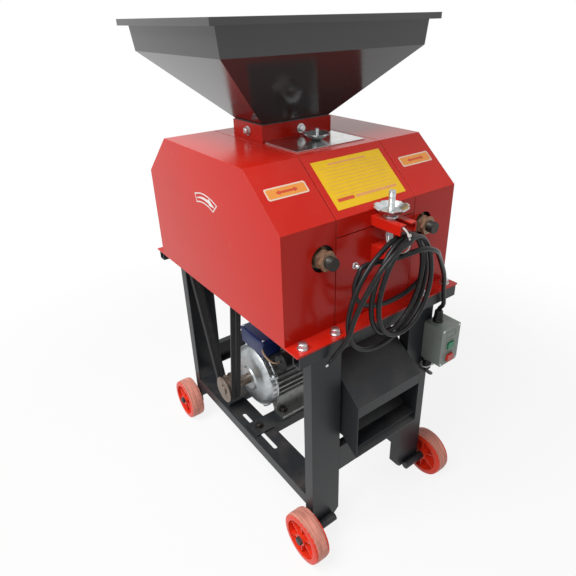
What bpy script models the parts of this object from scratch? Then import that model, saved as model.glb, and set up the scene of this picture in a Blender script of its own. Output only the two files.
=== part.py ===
# Electric double-roller grain mill on a wheeled stand.
# Metres, +Z up, the front of the mill faces -Y, the belt side is -X.
# The origin lies on the floor, midway between the four wheels.

import math

import bmesh
import bpy
from mathutils import Matrix, Vector

mm = 0.001

# Clearances
seat_gap = 0.3 * mm
weld_depth = 1.0 * mm
overrun = 2.0 * mm
merge_distance = 0.00001

# Wheels and their axles
wheel_radius = 62.5 * mm
wheel_width = 41.0 * mm
wheel_outer_face = 232.0 * mm
wheel_tread = 9.0 * mm
wheel_rim = 6.0 * mm
wheel_hub_radius = 15.0 * mm
wheel_web = 5.0 * mm
wheel_rib = 3.5 * mm
wheel_rib_recess = 4.0 * mm
wheel_seam = 1.5 * mm
wheel_rib_count = 6
axle_radius = 6.0 * mm
axle_tube_radius = 10.5 * mm
axle_tube_length = 64.0 * mm
axle_head_radius = 9.5 * mm
axle_head_height = 6.0 * mm
axle_clearance = 0.4 * mm

# Stand
leg_outer = 185.0 * mm
leg_width = 80.0 * mm
leg_flange = 28.0 * mm
leg_foot = 58.0 * mm
leg_corner = 12.0 * mm
steel = 3.0 * mm
base_flange = 41.0 * mm
top_rail_depth = 22.2 * mm
top_rail_half = 230.0 * mm
top_rail_bottom = 566.0 * mm
top_rail_height = 26.0 * mm
top_rail_wall = 2.5 * mm
side_rail_top = 145.0 * mm
side_rail_width = 67.0 * mm
side_rail_flange = 30.0 * mm
front_cross_room = 2.0 * mm
rear_cross_bottom = 170.0 * mm
cross_rail_height = 72.0 * mm
cross_rail_flange = 20.0 * mm

# Slots in the side rails and the bars that carry the motor
slot_centre = -27.0 * mm
slot_length = 166.0 * mm
slot_width = 11.0 * mm
slot_inset = 28.0 * mm
motor_bar_half = 176.0 * mm
motor_bar_steel = 4.0 * mm
motor_bar_drop = 24.0 * mm
front_bar_width = 54.0 * mm
rear_bar_width = 80.0 * mm
rear_bar_lip = 10.0 * mm

# Base plate
base_half_width = 235.0 * mm
base_thickness = 4.0 * mm
base_bolt_radius = 8.0 * mm
base_bolt_height = 12.0 * mm
base_bolt_washer = 11.0 * mm
base_bolt_washer_height = 2.5 * mm
base_bolt_inner = 127.0 * mm
base_bolt_outer = 209.0 * mm
base_bolt_inset = 18.0 * mm
belt_slot_wall = 13.0 * mm
belt_slot_inner = 150.0 * mm
belt_slot_front_room = 30.8 * mm
discharge_half = 88.0 * mm
discharge_front_length = 85.0 * mm
discharge_rear_length = 83.0 * mm

# Housing covers
housing_half_width = 235.0 * mm
housing_half_depth = 282.0 * mm
housing_height = 326.0 * mm
chamfer_run = 113.0 * mm
chamfer_rise = 96.0 * mm
sheet = 2.0 * mm
seam_centre = 108.0 * mm
seam_gap = 2.0 * mm
panel_height = 192.4 * mm
nut_hole_radius = 27.5 * mm
throat_half_width = 84.0 * mm

# Hopper, collar and slide gate
hopper_centre = 35.0 * mm
rim_half_width = 275.0 * mm
rim_half_depth = 206.0 * mm
band_height = 61.4 * mm
rim_drop = 12.5 * mm
rim_flat = 18.0 * mm
band_half_width = 251.0 * mm
band_half_depth = 187.0 * mm
funnel_height = 142.6 * mm
hopper_seat = 3.1 * mm
neck_depth = 14.0 * mm
hopper_sheet = 1.5 * mm
collar_half_width = 95.0 * mm
collar_half_depth = 59.0 * mm
collar_height = 36.0 * mm
collar_steel = 2.5 * mm
gate_half_width = 91.5 * mm
gate_front = -142.0 * mm
gate_rear = 84.0 * mm
gate_thickness = 2.0 * mm
gate_travel = 55.0 * mm
gate_slot_width = 11.0 * mm
gate_stud_y = -81.0 * mm
gate_stud_x = 8.0 * mm
gate_stud_radius = 4.0 * mm
gate_stud_height = 26.0 * mm
gate_slot_clearance = 2.0 * mm

# Lobed hand nuts
hand_nut_lobes = 8
gate_nut_radius = 30.0 * mm
gate_nut_height = 14.0 * mm
gate_nut_hub = 9.0 * mm
handwheel_radius = 35.5 * mm
handwheel_height = 20.0 * mm
handwheel_hub = 11.0 * mm
hand_nut_steel = 3.0 * mm
lobe_notch_share = 0.24
lobe_pitch_share = 1.12
dish_share = 0.42

# Forked bracket and clamp bolt
fork_centre = 3.0 * mm
fork_half_width = 22.0 * mm
fork_reach = 78.0 * mm
fork_lift = 26.0 * mm
fork_height = 20.0 * mm
fork_steel = 3.0 * mm
fork_slot_half = 7.0 * mm
fork_slot_room = 7.0 * mm
clamp_bolt_reach = 32.0 * mm
clamp_bolt_radius = 6.0 * mm
clamp_bolt_rise = 53.0 * mm
clamp_collar_radius = 7.4 * mm
lug_half_width = 18.0 * mm
lug_reach = 40.5 * mm
lug_height = 40.0 * mm
lug_drop = 37.0 * mm
washer_radius = 14.0 * mm
washer_height = 2.5 * mm

# Rollers, shafts and bearings
roller_axis_height = 160.7 * mm
roller_radius = 77.5 * mm
roller_half_length = 92.0 * mm
roller_gap = 0.6 * mm
gap_travel = 3.0 * mm
shaft_radius = 22.5 * mm
shaft_end = 204.0 * mm
pulley_shaft_end = 212.0 * mm
idle_shaft_end = 168.0 * mm
running_clearance = 0.08 * mm
wall_inner = 95.0 * mm
wall_steel = 8.0 * mm
wall_inset = 6.0 * mm
wall_hole_clearance = 4.0 * mm
bearing_centre = 140.0 * mm
bearing_half_width = 25.0 * mm
bearing_half_depth = 52.0 * mm
bearing_half_height = 46.0 * mm
bearing_bevel = 8.0 * mm
ledge_steel = 10.0 * mm
ledge_front_inset = 20.0 * mm
ledge_rear_room = 25.0 * mm
ledge_outer = 168.0 * mm
rib_steel = 8.0 * mm
rib_places_share = (0.12, 0.55, 0.9)
stud_lug_inset = 16.0 * mm
stud_lug_steel = 12.0 * mm
stud_radius = 12.0 * mm
stud_reach = 34.0 * mm
stud_hole_clearance = 1.0 * mm
gap_nut_flats = 36.0 * mm
gap_nut_height = 20.0 * mm
gap_nut_washer_radius = 22.0 * mm
gap_nut_washer = 4.0 * mm

# Roller gears
gear_teeth = 31
gear_module = 5.0 * mm
gear_width = 24.0 * mm
gear_inner = 176.0 * mm
gear_backlash = 0.5 * mm
gear_tip_share = 0.95
gear_root_share = 1.25
gear_pressure_angle = math.radians(20.0)
gear_hub_radius = 34.0 * mm
key_clearance = 0.2 * mm

# Belt drive
belt_pitch = 15.0 * mm
belt_width = 13.0 * mm
belt_back_share = 1.0
belt_face_share = 0.62
belt_height = 8.0 * mm
belt_proud = 1.5 * mm
belt_clearance = 0.3 * mm
pulley_outer_face = 205.0 * mm
pulley_edge = 9.5 * mm
roller_pulley_room = 17.2 * mm
roller_pulley_rim = 20.0 * mm
roller_pulley_web = 10.0 * mm
roller_pulley_hub = 38.0 * mm
motor_pulley_radius = 37.0 * mm

# Motor
motor_y = 68.0 * mm
motor_axis_height = 100.0 * mm
motor_radius = 92.0 * mm
motor_rib_height = 8.0 * mm
motor_rib_count = 34
motor_rib_share = 0.42
motor_drive_face = 118.0 * mm
motor_shield_width = 18.0 * mm
motor_shield_face_radius = 76.0 * mm
motor_shield_boss_radius = 32.0 * mm
motor_shield_boss = 7.0 * mm
motor_body_end = 150.0 * mm
motor_fan_length = 52.0 * mm
motor_fan_radius = 89.0 * mm
motor_fan_round = 14.0 * mm
motor_fan_sheet = 2.0 * mm
motor_shaft_radius = 14.0 * mm
motor_shaft_inside = 30.0 * mm
motor_foot_spread = 86.0 * mm
motor_foot_length = 176.0 * mm
motor_foot_width = 44.0 * mm
motor_foot_thickness = 11.0 * mm
motor_foot_bolt_spread = 70.0 * mm
motor_foot_bolt_x = 2.0 * mm
motor_foot_bolt_radius = 8.0 * mm
motor_foot_bolt_height = 9.0 * mm
motor_bolt_clearance = 0.5 * mm
bar_bolt_x = 151.0 * mm

# Boxes on the motor
terminal_box_left = -105.0 * mm
terminal_box_right = -50.0 * mm
terminal_box_front = 12.0 * mm
terminal_box_rear = 122.0 * mm
terminal_box_height = 50.1 * mm
terminal_box_lid = 16.0 * mm
terminal_box_lid_edge = 3.0 * mm
terminal_box_bevel = 6.0 * mm
capacitor_radius = 27.0 * mm
capacitor_length = 96.0 * mm
capacitor_left = -78.0 * mm
capacitor_rib_count = 13
capacitor_round = 6.0 * mm
capacitor_foot = 12.0 * mm

# Discharge chute
chute_half_width = 98.0 * mm
chute_reach = 49.5 * mm
chute_mouth_height = 144.0 * mm
chute_drop = 320.3 * mm
chute_roof_room = 76.0 * mm
chute_floor_room = 8.0 * mm
chute_steel = 2.0 * mm

# Switch box
box_overhang = 39.0 * mm
box_width = 66.0 * mm
box_drop = 161.0 * mm
box_height = 105.0 * mm
box_base_depth = 28.0 * mm
box_cover_depth = 26.0 * mm
box_round = 6.0 * mm
button_side = 33.0 * mm
button_width = 21.0 * mm
button_height = 17.0 * mm
button_length = 15.0 * mm
button_clearance = 0.5 * mm
button_travel = 4.0 * mm
button_round = 3.0 * mm
start_button_height = 53.0 * mm
stop_button_height = 19.0 * mm
start_button_proud = 4.5 * mm
stop_button_proud = 7.0 * mm
button_pocket = 20.0 * mm
gland_side = 26.5 * mm
gland_inset = 17.5 * mm
gland_radius = 10.5 * mm
gland_tip_radius = 7.5 * mm
gland_height = 22.0 * mm
lower_gland_side = 10.0 * mm
lower_gland_inset = 12.5 * mm

# Power cord and motor cable
cord_radius = 5.25 * mm
cord_end_radius = 2.6 * mm
cord_end_length = 24.0 * mm
cord_end_collar = 3.8 * mm
cable_radius = 4.5 * mm
route_spacing_share = 2.4
coil_turns_start = 0.2
coil_turns_end = 4.0
coil_points_a_turn = 24
coil_pitch = 12.2 * mm
coil_layer_step_share = 0.12
coil_top_x = 12.0 * mm
coil_top_z = 777.0 * mm
coil_top_rise = 3.0 * mm
coil_egg_share = 0.1
coil_leans = (-8.0 * mm, -50.0 * mm, -34.0 * mm, -15.0 * mm)
coil_half_widths = (108.0 * mm, 110.0 * mm, 63.0 * mm, 73.0 * mm)
coil_heights = (143.0 * mm, 234.0 * mm, 200.0 * mm, 209.0 * mm)

# The cord's run from the switch box up to the coil, chosen by hand
lead_route = (
    (184.5 * mm, -318.5 * mm, 543.0 * mm),
    (183.5 * mm, -324.5 * mm, 552.0 * mm),
    (180.5 * mm, -331.0 * mm, 565.0 * mm),
    (172.0 * mm, -333.0 * mm, 601.0 * mm),
    (157.0 * mm, -340.0 * mm, 648.0 * mm),
    (130.0 * mm, -350.0 * mm, 688.0 * mm),
    (100.0 * mm, -363.0 * mm, 722.0 * mm),
    (76.0 * mm, -376.0 * mm, 742.0 * mm),
    (52.0 * mm, -380.5 * mm, 756.0 * mm),
    (28.0 * mm, -381.0 * mm, 764.0 * mm),
    (6.0 * mm, -377.0 * mm, 763.0 * mm),
    (-12.0 * mm, -363.0 * mm, 754.0 * mm),
    (-28.0 * mm, -347.0 * mm, 745.0 * mm),
    (-50.0 * mm, -333.0 * mm, 741.0 * mm),
    (-72.0 * mm, -329.0 * mm, 741.0 * mm),
)

# The cord's loose tail, from the coil down to its bare end
tail_route = (
    (-14.0 * mm, -378.0 * mm, 787.0 * mm),
    (-50.0 * mm, -380.5 * mm, 778.0 * mm),
    (-82.0 * mm, -377.0 * mm, 751.0 * mm),
    (-104.0 * mm, -370.0 * mm, 714.0 * mm),
    (-118.0 * mm, -363.0 * mm, 680.0 * mm),
    (-127.0 * mm, -357.0 * mm, 650.0 * mm),
    (-132.0 * mm, -353.0 * mm, 622.0 * mm),
    (-139.0 * mm, -346.0 * mm, 598.0 * mm),
    (-147.0 * mm, -339.0 * mm, 581.0 * mm),
    (-156.0 * mm, -334.0 * mm, 567.0 * mm),
)

# The motor cable's run, chosen by hand
cable_route = (
    (168.0 * mm, -313.0 * mm, 372.0 * mm),
    (177.0 * mm, -314.0 * mm, 358.0 * mm),
    (189.0 * mm, -313.0 * mm, 348.0 * mm),
    (196.0 * mm, -304.0 * mm, 342.0 * mm),
    (198.0 * mm, -288.0 * mm, 339.0 * mm),
    (192.0 * mm, -268.0 * mm, 338.0 * mm),
    (172.0 * mm, -250.0 * mm, 340.0 * mm),
    (140.0 * mm, -228.0 * mm, 345.0 * mm),
    (100.0 * mm, -190.0 * mm, 352.0 * mm),
    (60.0 * mm, -130.0 * mm, 360.0 * mm),
    (30.0 * mm, -60.0 * mm, 367.0 * mm),
    (8.0 * mm, 0.0 * mm, 371.0 * mm),
    (-8.0 * mm, 34.0 * mm, 372.0 * mm),
    (-24.0 * mm, 52.0 * mm, 372.0 * mm),
)
cable_entry_y = 58.0 * mm
cable_entry_z = 372.0 * mm

# Sides of round pieces
fine_sides = 40
round_sides = 28
small_sides = 16
hex_sides = 6
large_arc_steps = 36
small_arc_steps = 20

# Places worked out from the sizes above
top_rail_face = housing_half_depth + base_flange
leg_face = top_rail_face - top_rail_depth - seat_gap
axle_y = leg_face + axle_tube_radius - weld_depth
base_bottom = top_rail_bottom + top_rail_height + seat_gap
base_top = base_bottom + base_thickness
cover_bottom = base_top + seat_gap
cover_top = cover_bottom + housing_height
panel_top = cover_bottom + panel_height
gate_bottom = cover_top + seat_gap
gate_top = gate_bottom + gate_thickness
collar_top = gate_bottom + collar_height
mouth_height = collar_top + hopper_seat
band_bottom = mouth_height + funnel_height
rim_top = band_bottom + band_height
roller_offset = roller_radius + roller_gap / 2
roller_axis_z = base_top + roller_axis_height
fixed_roller_y = hopper_centre + roller_offset
moving_roller_y = hopper_centre - roller_offset
roller_pulley_radius = housing_half_depth - fixed_roller_y - roller_pulley_room
discharge_front = hopper_centre - discharge_front_length
discharge_rear = hopper_centre + discharge_rear_length
belt_slot_front = fixed_roller_y - roller_pulley_radius - belt_slot_front_room
fork_front = -housing_half_depth - fork_reach
fork_top = panel_top + fork_lift
clamp_bolt_y = -housing_half_depth - clamp_bolt_reach
clamp_bolt_top = fork_top + clamp_bolt_rise
fork_slot_rear = clamp_bolt_y + fork_slot_half + fork_slot_room
lug_front = -housing_half_depth - lug_reach
lug_top = panel_top - lug_drop
stud_lug_face = -housing_half_depth + stud_lug_inset
stud_end = -housing_half_depth - stud_reach
ledge_front = -housing_half_depth + ledge_front_inset
ledge_rear = fixed_roller_y + bearing_half_depth + ledge_rear_room
chute_mouth_y = -leg_face - chute_reach
chute_mouth_bottom = base_bottom - chute_drop
chute_mouth_top = chute_mouth_bottom + chute_mouth_height
front_cross_bottom = chute_mouth_bottom - cross_rail_height - front_cross_room
chute_roof_top_y = discharge_front - chute_roof_room
chute_floor_top_y = discharge_rear + chute_floor_room
box_left = leg_outer + box_overhang - box_width
box_bottom = top_rail_bottom - box_drop
button_x = box_left + button_side
start_button_z = box_bottom + start_button_height
stop_button_z = box_bottom + stop_button_height
gland_x = box_left + gland_side
gland_y = -leg_face - gland_inset
lower_gland_x = box_left + lower_gland_side
lower_gland_y = -leg_face - lower_gland_inset
motor_bar_top = side_rail_top + seat_gap + motor_bar_steel
motor_z = motor_bar_top + seat_gap + motor_axis_height
terminal_box_top = motor_z + motor_radius + seat_gap + terminal_box_height
ledge_top = roller_axis_z - bearing_half_height - seat_gap
mouth_half_width = collar_half_width - collar_steel - seat_gap
mouth_half_depth = collar_half_depth - collar_steel - seat_gap
capacitor_angle = 2 * math.pi * capacitor_rib_count / motor_rib_count

paints = {
    "frame_paint": ((0.030, 0.033, 0.037), 0.42, 0.0),
    "red_paint": ((0.62, 0.030, 0.022), 0.28, 0.0),
    "hopper_paint": ((0.034, 0.036, 0.040), 0.22, 0.0),
    "stainless": ((0.60, 0.60, 0.60), 0.18, 1.0),
    "zinc": ((0.66, 0.69, 0.70), 0.30, 1.0),
    "roller_steel": ((0.42, 0.42, 0.43), 0.35, 1.0),
    "cast_iron": ((0.10, 0.10, 0.105), 0.60, 0.7),
    "bright_steel": ((0.38, 0.33, 0.28), 0.45, 0.9),
    "nut_steel": ((0.40, 0.31, 0.24), 0.45, 0.8),
    "belt_rubber": ((0.012, 0.012, 0.013), 0.70, 0.0),
    "shield_alloy": ((0.52, 0.55, 0.56), 0.42, 0.6),
    "motor_alloy": ((0.13, 0.135, 0.13), 0.50, 0.3),
    "blue_plastic": ((0.012, 0.030, 0.15), 0.35, 0.0),
    "black_plastic": ((0.015, 0.015, 0.016), 0.40, 0.0),
    "wheel_plastic": ((0.80, 0.055, 0.012), 0.40, 0.0),
    "box_plastic": ((0.33, 0.38, 0.36), 0.45, 0.0),
    "green_plastic": ((0.0, 0.28, 0.10), 0.35, 0.0),
    "red_plastic": ((0.60, 0.03, 0.025), 0.35, 0.0),
    "cord_rubber": ((0.014, 0.014, 0.015), 0.45, 0.0),
}


def clear_scene():
    for thing in list(bpy.data.objects):
        bpy.data.objects.remove(thing)


def make_collection(name):
    collection = bpy.data.collections.new(name)
    bpy.context.scene.collection.children.link(collection)
    return collection


def make_material(name):
    colour, roughness, metallic = paints[name]
    material = bpy.data.materials.new(name)
    material.use_nodes = True
    shader = material.node_tree.nodes["Principled BSDF"]
    shader.inputs["Base Color"].default_value = (*colour, 1.0)
    shader.inputs["Roughness"].default_value = roughness
    shader.inputs["Metallic"].default_value = metallic
    return material


clear_scene()
parts = make_collection("grain_grinder")
cutters = make_collection("grain_grinder_cutters")
materials = {name: make_material(name) for name in paints}


# Making and placing shapes


def object_from(name, mesh):
    part = bpy.data.objects.new(name, mesh)
    parts.objects.link(part)
    return part


def mesh_from(name, shape):
    bmesh.ops.recalc_face_normals(shape, faces=shape.faces)
    mesh = bpy.data.meshes.new(name)
    shape.to_mesh(mesh)
    shape.free()
    return object_from(name, mesh)


def block(name, low, high):
    """A box between two corners."""
    shape = bmesh.new()
    bmesh.ops.create_cube(shape, size=1.0)
    size = Vector(high) - Vector(low)
    middle = (Vector(high) + Vector(low)) / 2
    spread = Matrix.Diagonal((*size, 1.0))
    bmesh.ops.transform(shape, matrix=Matrix.Translation(middle) @ spread, verts=shape.verts)
    return mesh_from(name, shape)


def axis_number(axis):
    return "XYZ".index(axis)


def axis_turn(axis):
    """The turn that carries local Z onto a world axis."""
    if axis == "X":
        return Matrix.Rotation(math.pi / 2, 4, "Y")
    if axis == "Y":
        return Matrix.Rotation(-math.pi / 2, 4, "X")
    return Matrix.Identity(4)


def bar(name, axis, start, length, radius, sides, end_radius=None):
    """A round bar from the centre of its first end, along +axis."""
    shape = bmesh.new()
    far_radius = radius if end_radius is None else end_radius
    bmesh.ops.create_cone(
        shape, cap_ends=True, segments=sides, radius1=radius, radius2=far_radius, depth=length
    )
    lift = Matrix.Translation((0, 0, length / 2))
    place = Matrix.Translation(start) @ axis_turn(axis) @ lift
    bmesh.ops.transform(shape, matrix=place, verts=shape.verts)
    return mesh_from(name, shape)


def between(name, axis, low, high, centre, radius, sides):
    """A round bar between two places along an axis; centre gives the other two coordinates."""
    start = list(centre)
    start.insert(axis_number(axis), low)
    return bar(name, axis, start, high - low, radius, sides)


def flat_shape(name, outline, thickness):
    """A flat outline with thickness, in its own XY plane, as a mesh."""
    data = bpy.data.curves.new(name, "CURVE")
    data.dimensions = "2D"
    data.fill_mode = "BOTH"
    data.extrude = thickness / 2
    spline = data.splines.new("POLY")
    spline.points.add(len(outline) - 1)
    for point, (across, along) in zip(spline.points, outline):
        point.co = (across, along, 0, 1)
    spline.use_cyclic_u = True
    return curve_to_mesh(name, data)


def curve_to_mesh(name, data):
    """Turns curve data into a welded mesh and removes the curve."""
    guide = bpy.data.objects.new(name + "_curve", data)
    parts.objects.link(guide)
    bpy.context.view_layer.update()
    evaluated = guide.evaluated_get(bpy.context.evaluated_depsgraph_get())
    mesh = bpy.data.meshes.new_from_object(evaluated)
    bpy.data.objects.remove(guide)
    bpy.data.curves.remove(data)
    shape = bmesh.new()
    shape.from_mesh(mesh)
    bpy.data.meshes.remove(mesh)
    bmesh.ops.remove_doubles(shape, verts=shape.verts, dist=merge_distance)
    return shape


def outline_plane(axis):
    """Carries a flat outline onto the plane across an axis: X takes (y, z), Y takes (x, z)."""
    if axis == "X":
        return Matrix(((0, 0, 1, 0), (1, 0, 0, 0), (0, 1, 0, 0), (0, 0, 0, 1)))
    if axis == "Y":
        return Matrix(((1, 0, 0, 0), (0, 0, -1, 0), (0, 1, 0, 0), (0, 0, 0, 1)))
    return Matrix.Identity(4)


def prism(name, outline, axis, low, high):
    """A flat outline carried from low to high along an axis."""
    shape = flat_shape(name, outline, high - low)
    shift = Vector((0, 0, 0))
    shift[axis_number(axis)] = (low + high) / 2
    place = Matrix.Translation(shift) @ outline_plane(axis)
    bmesh.ops.transform(shape, matrix=place, verts=shape.verts)
    return mesh_from(name, shape)


def turned(name, profile, axis, place, steps, closed=False):
    """A turned piece: the profile's (radius, height) points run down its outer side."""
    mesh = bpy.data.meshes.new(name)
    points = [(radius, 0, height) for radius, height in profile]
    edges = [(index, index + 1) for index in range(len(points) - 1)]
    if closed:
        edges.append((len(points) - 1, 0))
    mesh.from_pydata(points, edges, [])
    part = object_from(name, mesh)
    screw = part.modifiers.new("turn", "SCREW")
    screw.steps = steps
    screw.render_steps = steps
    screw.use_merge_vertices = True
    screw.merge_threshold = merge_distance
    screw.use_smooth_shade = True
    part.matrix_world = Matrix.Translation(place) @ axis_turn(axis)
    return part


def make_cutter(part):
    parts.objects.unlink(part)
    cutters.objects.link(part)
    part.hide_render = True
    part.display_type = "WIRE"
    return part


def combine(part, others, operation):
    for other in others:
        make_cutter(other)
        boolean = part.modifiers.new(operation.lower(), "BOOLEAN")
        boolean.operation = operation
        boolean.solver = "EXACT"
        boolean.object = other
    return part


def cut(part, *others):
    return combine(part, others, "DIFFERENCE")


def join(part, *others):
    return combine(part, others, "UNION")


def round_edges(part, width, segments, axis=None):
    """Rounds the edges that run along one axis, or all of them, before any cut or join."""
    shape = bmesh.new()
    shape.from_mesh(part.data)
    edges = list(shape.edges)
    if axis is not None:
        index = axis_number(axis)
        edges = [edge for edge in edges if runs_along(edge, index)]
    bmesh.ops.bevel(shape, geom=edges, offset=width, segments=segments, affect="EDGES", profile=0.5)
    bmesh.ops.recalc_face_normals(shape, faces=shape.faces)
    shape.to_mesh(part.data)
    shape.free()
    return part


def runs_along(edge, index):
    run = edge.verts[1].co - edge.verts[0].co
    return abs(abs(run[index]) - run.length) < merge_distance


def paint(part, name):
    part.data.materials.clear()
    part.data.materials.append(materials[name])
    part.data.shade_smooth()
    part.data.set_sharp_from_angle(angle=math.radians(35.0))
    return part


def turn_about(part, origin):
    """Moves the part's origin onto its joint's axis."""
    here = part.matrix_world.copy()
    target = Matrix.Translation(origin)
    part.data.transform(target.inverted() @ here)
    part.matrix_world = target
    return part


def turned_about(part, origin):
    """The same for a turned piece, whose modifier keeps its own axis."""
    shift = part.matrix_world.inverted() @ Vector(origin)
    part.data.transform(Matrix.Translation((0, 0, -shift.z)))
    part.location = origin
    return part


def sheet_metal(part, thickness, is_open):
    """Opens a closed form where is_open says so and gives the rest a sheet's thickness inwards."""
    shape = bmesh.new()
    shape.from_mesh(part.data)
    open_faces = [face for face in shape.faces if is_open(face.calc_center_median(), face.normal)]
    bmesh.ops.delete(shape, geom=open_faces, context="FACES")
    shape.to_mesh(part.data)
    shape.free()
    return give_thickness(part, thickness)


def give_thickness(part, thickness):
    solidify = part.modifiers.new("sheet", "SOLIDIFY")
    solidify.thickness = thickness
    solidify.offset = -1
    solidify.use_even_offset = True
    return part


def ring_points(radius, count, first=0.0):
    step = 2 * math.pi / count
    return [
        (radius * math.cos(first + step * index), radius * math.sin(first + step * index))
        for index in range(count)
    ]


def bore_radius(pin_radius, clearance, sides):
    """A faceted bore whose flats stay clear of a faceted pin."""
    return (pin_radius + clearance) / math.cos(math.pi / sides)


# Stand


def make_top_rail(name, side):
    """A rectangular tube across the front or the rear."""
    near = side * (leg_face + seat_gap)
    far = side * top_rail_face
    low_y, high_y = sorted((near, far))
    top = top_rail_bottom + top_rail_height
    rail = block(name, (-top_rail_half, low_y, top_rail_bottom), (top_rail_half, high_y, top))
    bore = block(
        name + "_bore",
        (-top_rail_half - overrun, low_y + top_rail_wall, top_rail_bottom + top_rail_wall),
        (top_rail_half + overrun, high_y - top_rail_wall, top - top_rail_wall),
    )
    return paint(cut(rail, bore), "frame_paint")


def leg_outline(side):
    """The leg's face seen from the front: its inner bottom corner is cut off."""
    inner = leg_outer - leg_width
    top = base_bottom - seat_gap
    points = [
        (leg_outer, leg_foot),
        (leg_outer, top),
        (inner, top),
        (inner, leg_foot + leg_corner),
        (inner + leg_corner, leg_foot),
    ]
    return [(side * across, height) for across, height in points]


def make_leg(name, side, end):
    """A channel leg with its axle tube welded on the outer face and the wheel's bolt in it."""
    face = end * leg_face
    back = end * (leg_face - leg_flange)
    low_y, high_y = sorted((face, back))
    leg = prism(name, leg_outline(side), "Y", low_y, high_y)
    inner = leg_outer - leg_width
    low_x, high_x = sorted((side * (inner + steel), side * (leg_outer - steel)))
    hollow_y = sorted((end * (leg_face - steel), end * (leg_face - leg_flange - overrun)))
    hollow = block(
        name + "_hollow",
        (low_x, hollow_y[0], leg_foot - overrun),
        (high_x, hollow_y[1], base_bottom + overrun),
    )
    cut(leg, hollow)
    wheel_inner = wheel_outer_face - wheel_width
    tube_end = wheel_inner - axle_clearance
    head_start = wheel_outer_face + axle_clearance
    centre = (end * axle_y, wheel_radius)
    tube_x = sorted((side * tube_end, side * (tube_end - axle_tube_length)))
    tube = between(name + "_tube", "X", *tube_x, centre, axle_tube_radius, small_sides)
    bolt_x = sorted((side * (tube_end - weld_depth), side * (head_start + weld_depth)))
    bolt = between(name + "_bolt", "X", *bolt_x, centre, axle_radius, small_sides)
    head_x = sorted((side * head_start, side * (head_start + axle_head_height)))
    head = between(name + "_head", "X", *head_x, centre, axle_head_radius, hex_sides)
    return paint(join(leg, tube, bolt, head), "frame_paint")


def make_side_rail(name, side):
    """A folded rail between the legs of one side, open below, with the motor bars' slot."""
    reach = leg_face - leg_flange - seat_gap
    low_x, high_x = sorted((side * leg_outer, side * (leg_outer - side_rail_width)))
    bottom = side_rail_top - side_rail_flange
    rail = block(name, (low_x, -reach, bottom), (high_x, reach, side_rail_top))
    hollow = block(
        name + "_hollow",
        (low_x + steel, -reach - overrun, bottom - overrun),
        (high_x - steel, reach + overrun, side_rail_top - steel),
    )
    slot = slot_cutter(name + "_slot", side * (leg_outer - slot_inset), slot_centre, slot_length)
    rear_slot_centre = motor_y + motor_foot_spread
    rear_slot = slot_cutter(
        name + "_rear_slot", side * (leg_outer - slot_inset), rear_slot_centre, slot_length / 3
    )
    return paint(cut(rail, hollow, slot, rear_slot), "frame_paint")


def slot_cutter(name, x, y, length):
    """A long hole with round ends, cut down through a rail's top."""
    radius = slot_width / 2
    straight = length / 2 - radius
    half = small_sides // 2
    front = [
        (x + radius * math.cos(angle), y - straight + radius * math.sin(angle))
        for angle in (math.pi + math.pi * index / half for index in range(half + 1))
    ]
    rear = [
        (x + radius * math.cos(angle), y + straight + radius * math.sin(angle))
        for angle in (math.pi * index / half for index in range(half + 1))
    ]
    return prism(name, front + rear, "Z", side_rail_top - steel - overrun, side_rail_top + overrun)


def make_cross_rail(name, end, bottom):
    """A folded rail between the two legs of one end, its flanges turned inwards."""
    half = leg_outer - leg_width - seat_gap
    top = bottom + cross_rail_height
    low_y, high_y = sorted((end * leg_face, end * (leg_face - cross_rail_flange)))
    rail = block(name, (-half, low_y, bottom), (half, high_y, top))
    hollow_y = sorted((end * (leg_face - steel), end * (leg_face - cross_rail_flange - overrun)))
    hollow = block(
        name + "_hollow",
        (-half - overrun, hollow_y[0], bottom + steel),
        (half + overrun, hollow_y[1], top - steel),
    )
    return paint(cut(rail, hollow), "frame_paint")


def bar_bolts(name, y, top):
    """Two bolts that clamp a motor bar to the side rails' slots."""
    bolts = []
    for index, side in enumerate((-1, 1)):
        centre = (side * bar_bolt_x, y, top - weld_depth)
        height = motor_foot_bolt_height + weld_depth
        bolts.append(bar(f"{name}_bolt_{index}", "Z", centre, height, motor_foot_bolt_radius, hex_sides))
    return bolts


def make_front_motor_bar():
    """A plate over the side rails, with a flange that hangs between them."""
    y = motor_y - motor_foot_spread
    low_y = y - front_bar_width / 2
    high_y = y + front_bar_width / 2
    bottom = side_rail_top + seat_gap
    plate = block(
        "front_motor_bar", (-motor_bar_half, low_y, bottom), (motor_bar_half, high_y, motor_bar_top)
    )
    inner = leg_outer - side_rail_width - axle_clearance
    drop = block(
        "front_motor_bar_drop",
        (-inner, low_y, bottom - motor_bar_drop),
        (inner, low_y + motor_bar_steel, motor_bar_top - weld_depth),
    )
    join(plate, drop, *bar_bolts("front_motor_bar", y, motor_bar_top))
    return paint(plate, "frame_paint")


def make_rear_motor_bar():
    """A wider plate over the side rails, with its front edge turned up."""
    y = motor_y + motor_foot_spread
    high_y = y + front_bar_width / 2
    low_y = high_y - rear_bar_width
    bottom = side_rail_top + seat_gap
    plate = block(
        "rear_motor_bar", (-motor_bar_half, low_y, bottom), (motor_bar_half, high_y, motor_bar_top)
    )
    lip = block(
        "rear_motor_bar_lip",
        (-motor_bar_half, low_y, motor_bar_top - weld_depth),
        (motor_bar_half, low_y + motor_bar_steel, motor_bar_top + rear_bar_lip),
    )
    join(plate, lip, *bar_bolts("rear_motor_bar", y, motor_bar_top))
    return paint(plate, "frame_paint")


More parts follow.
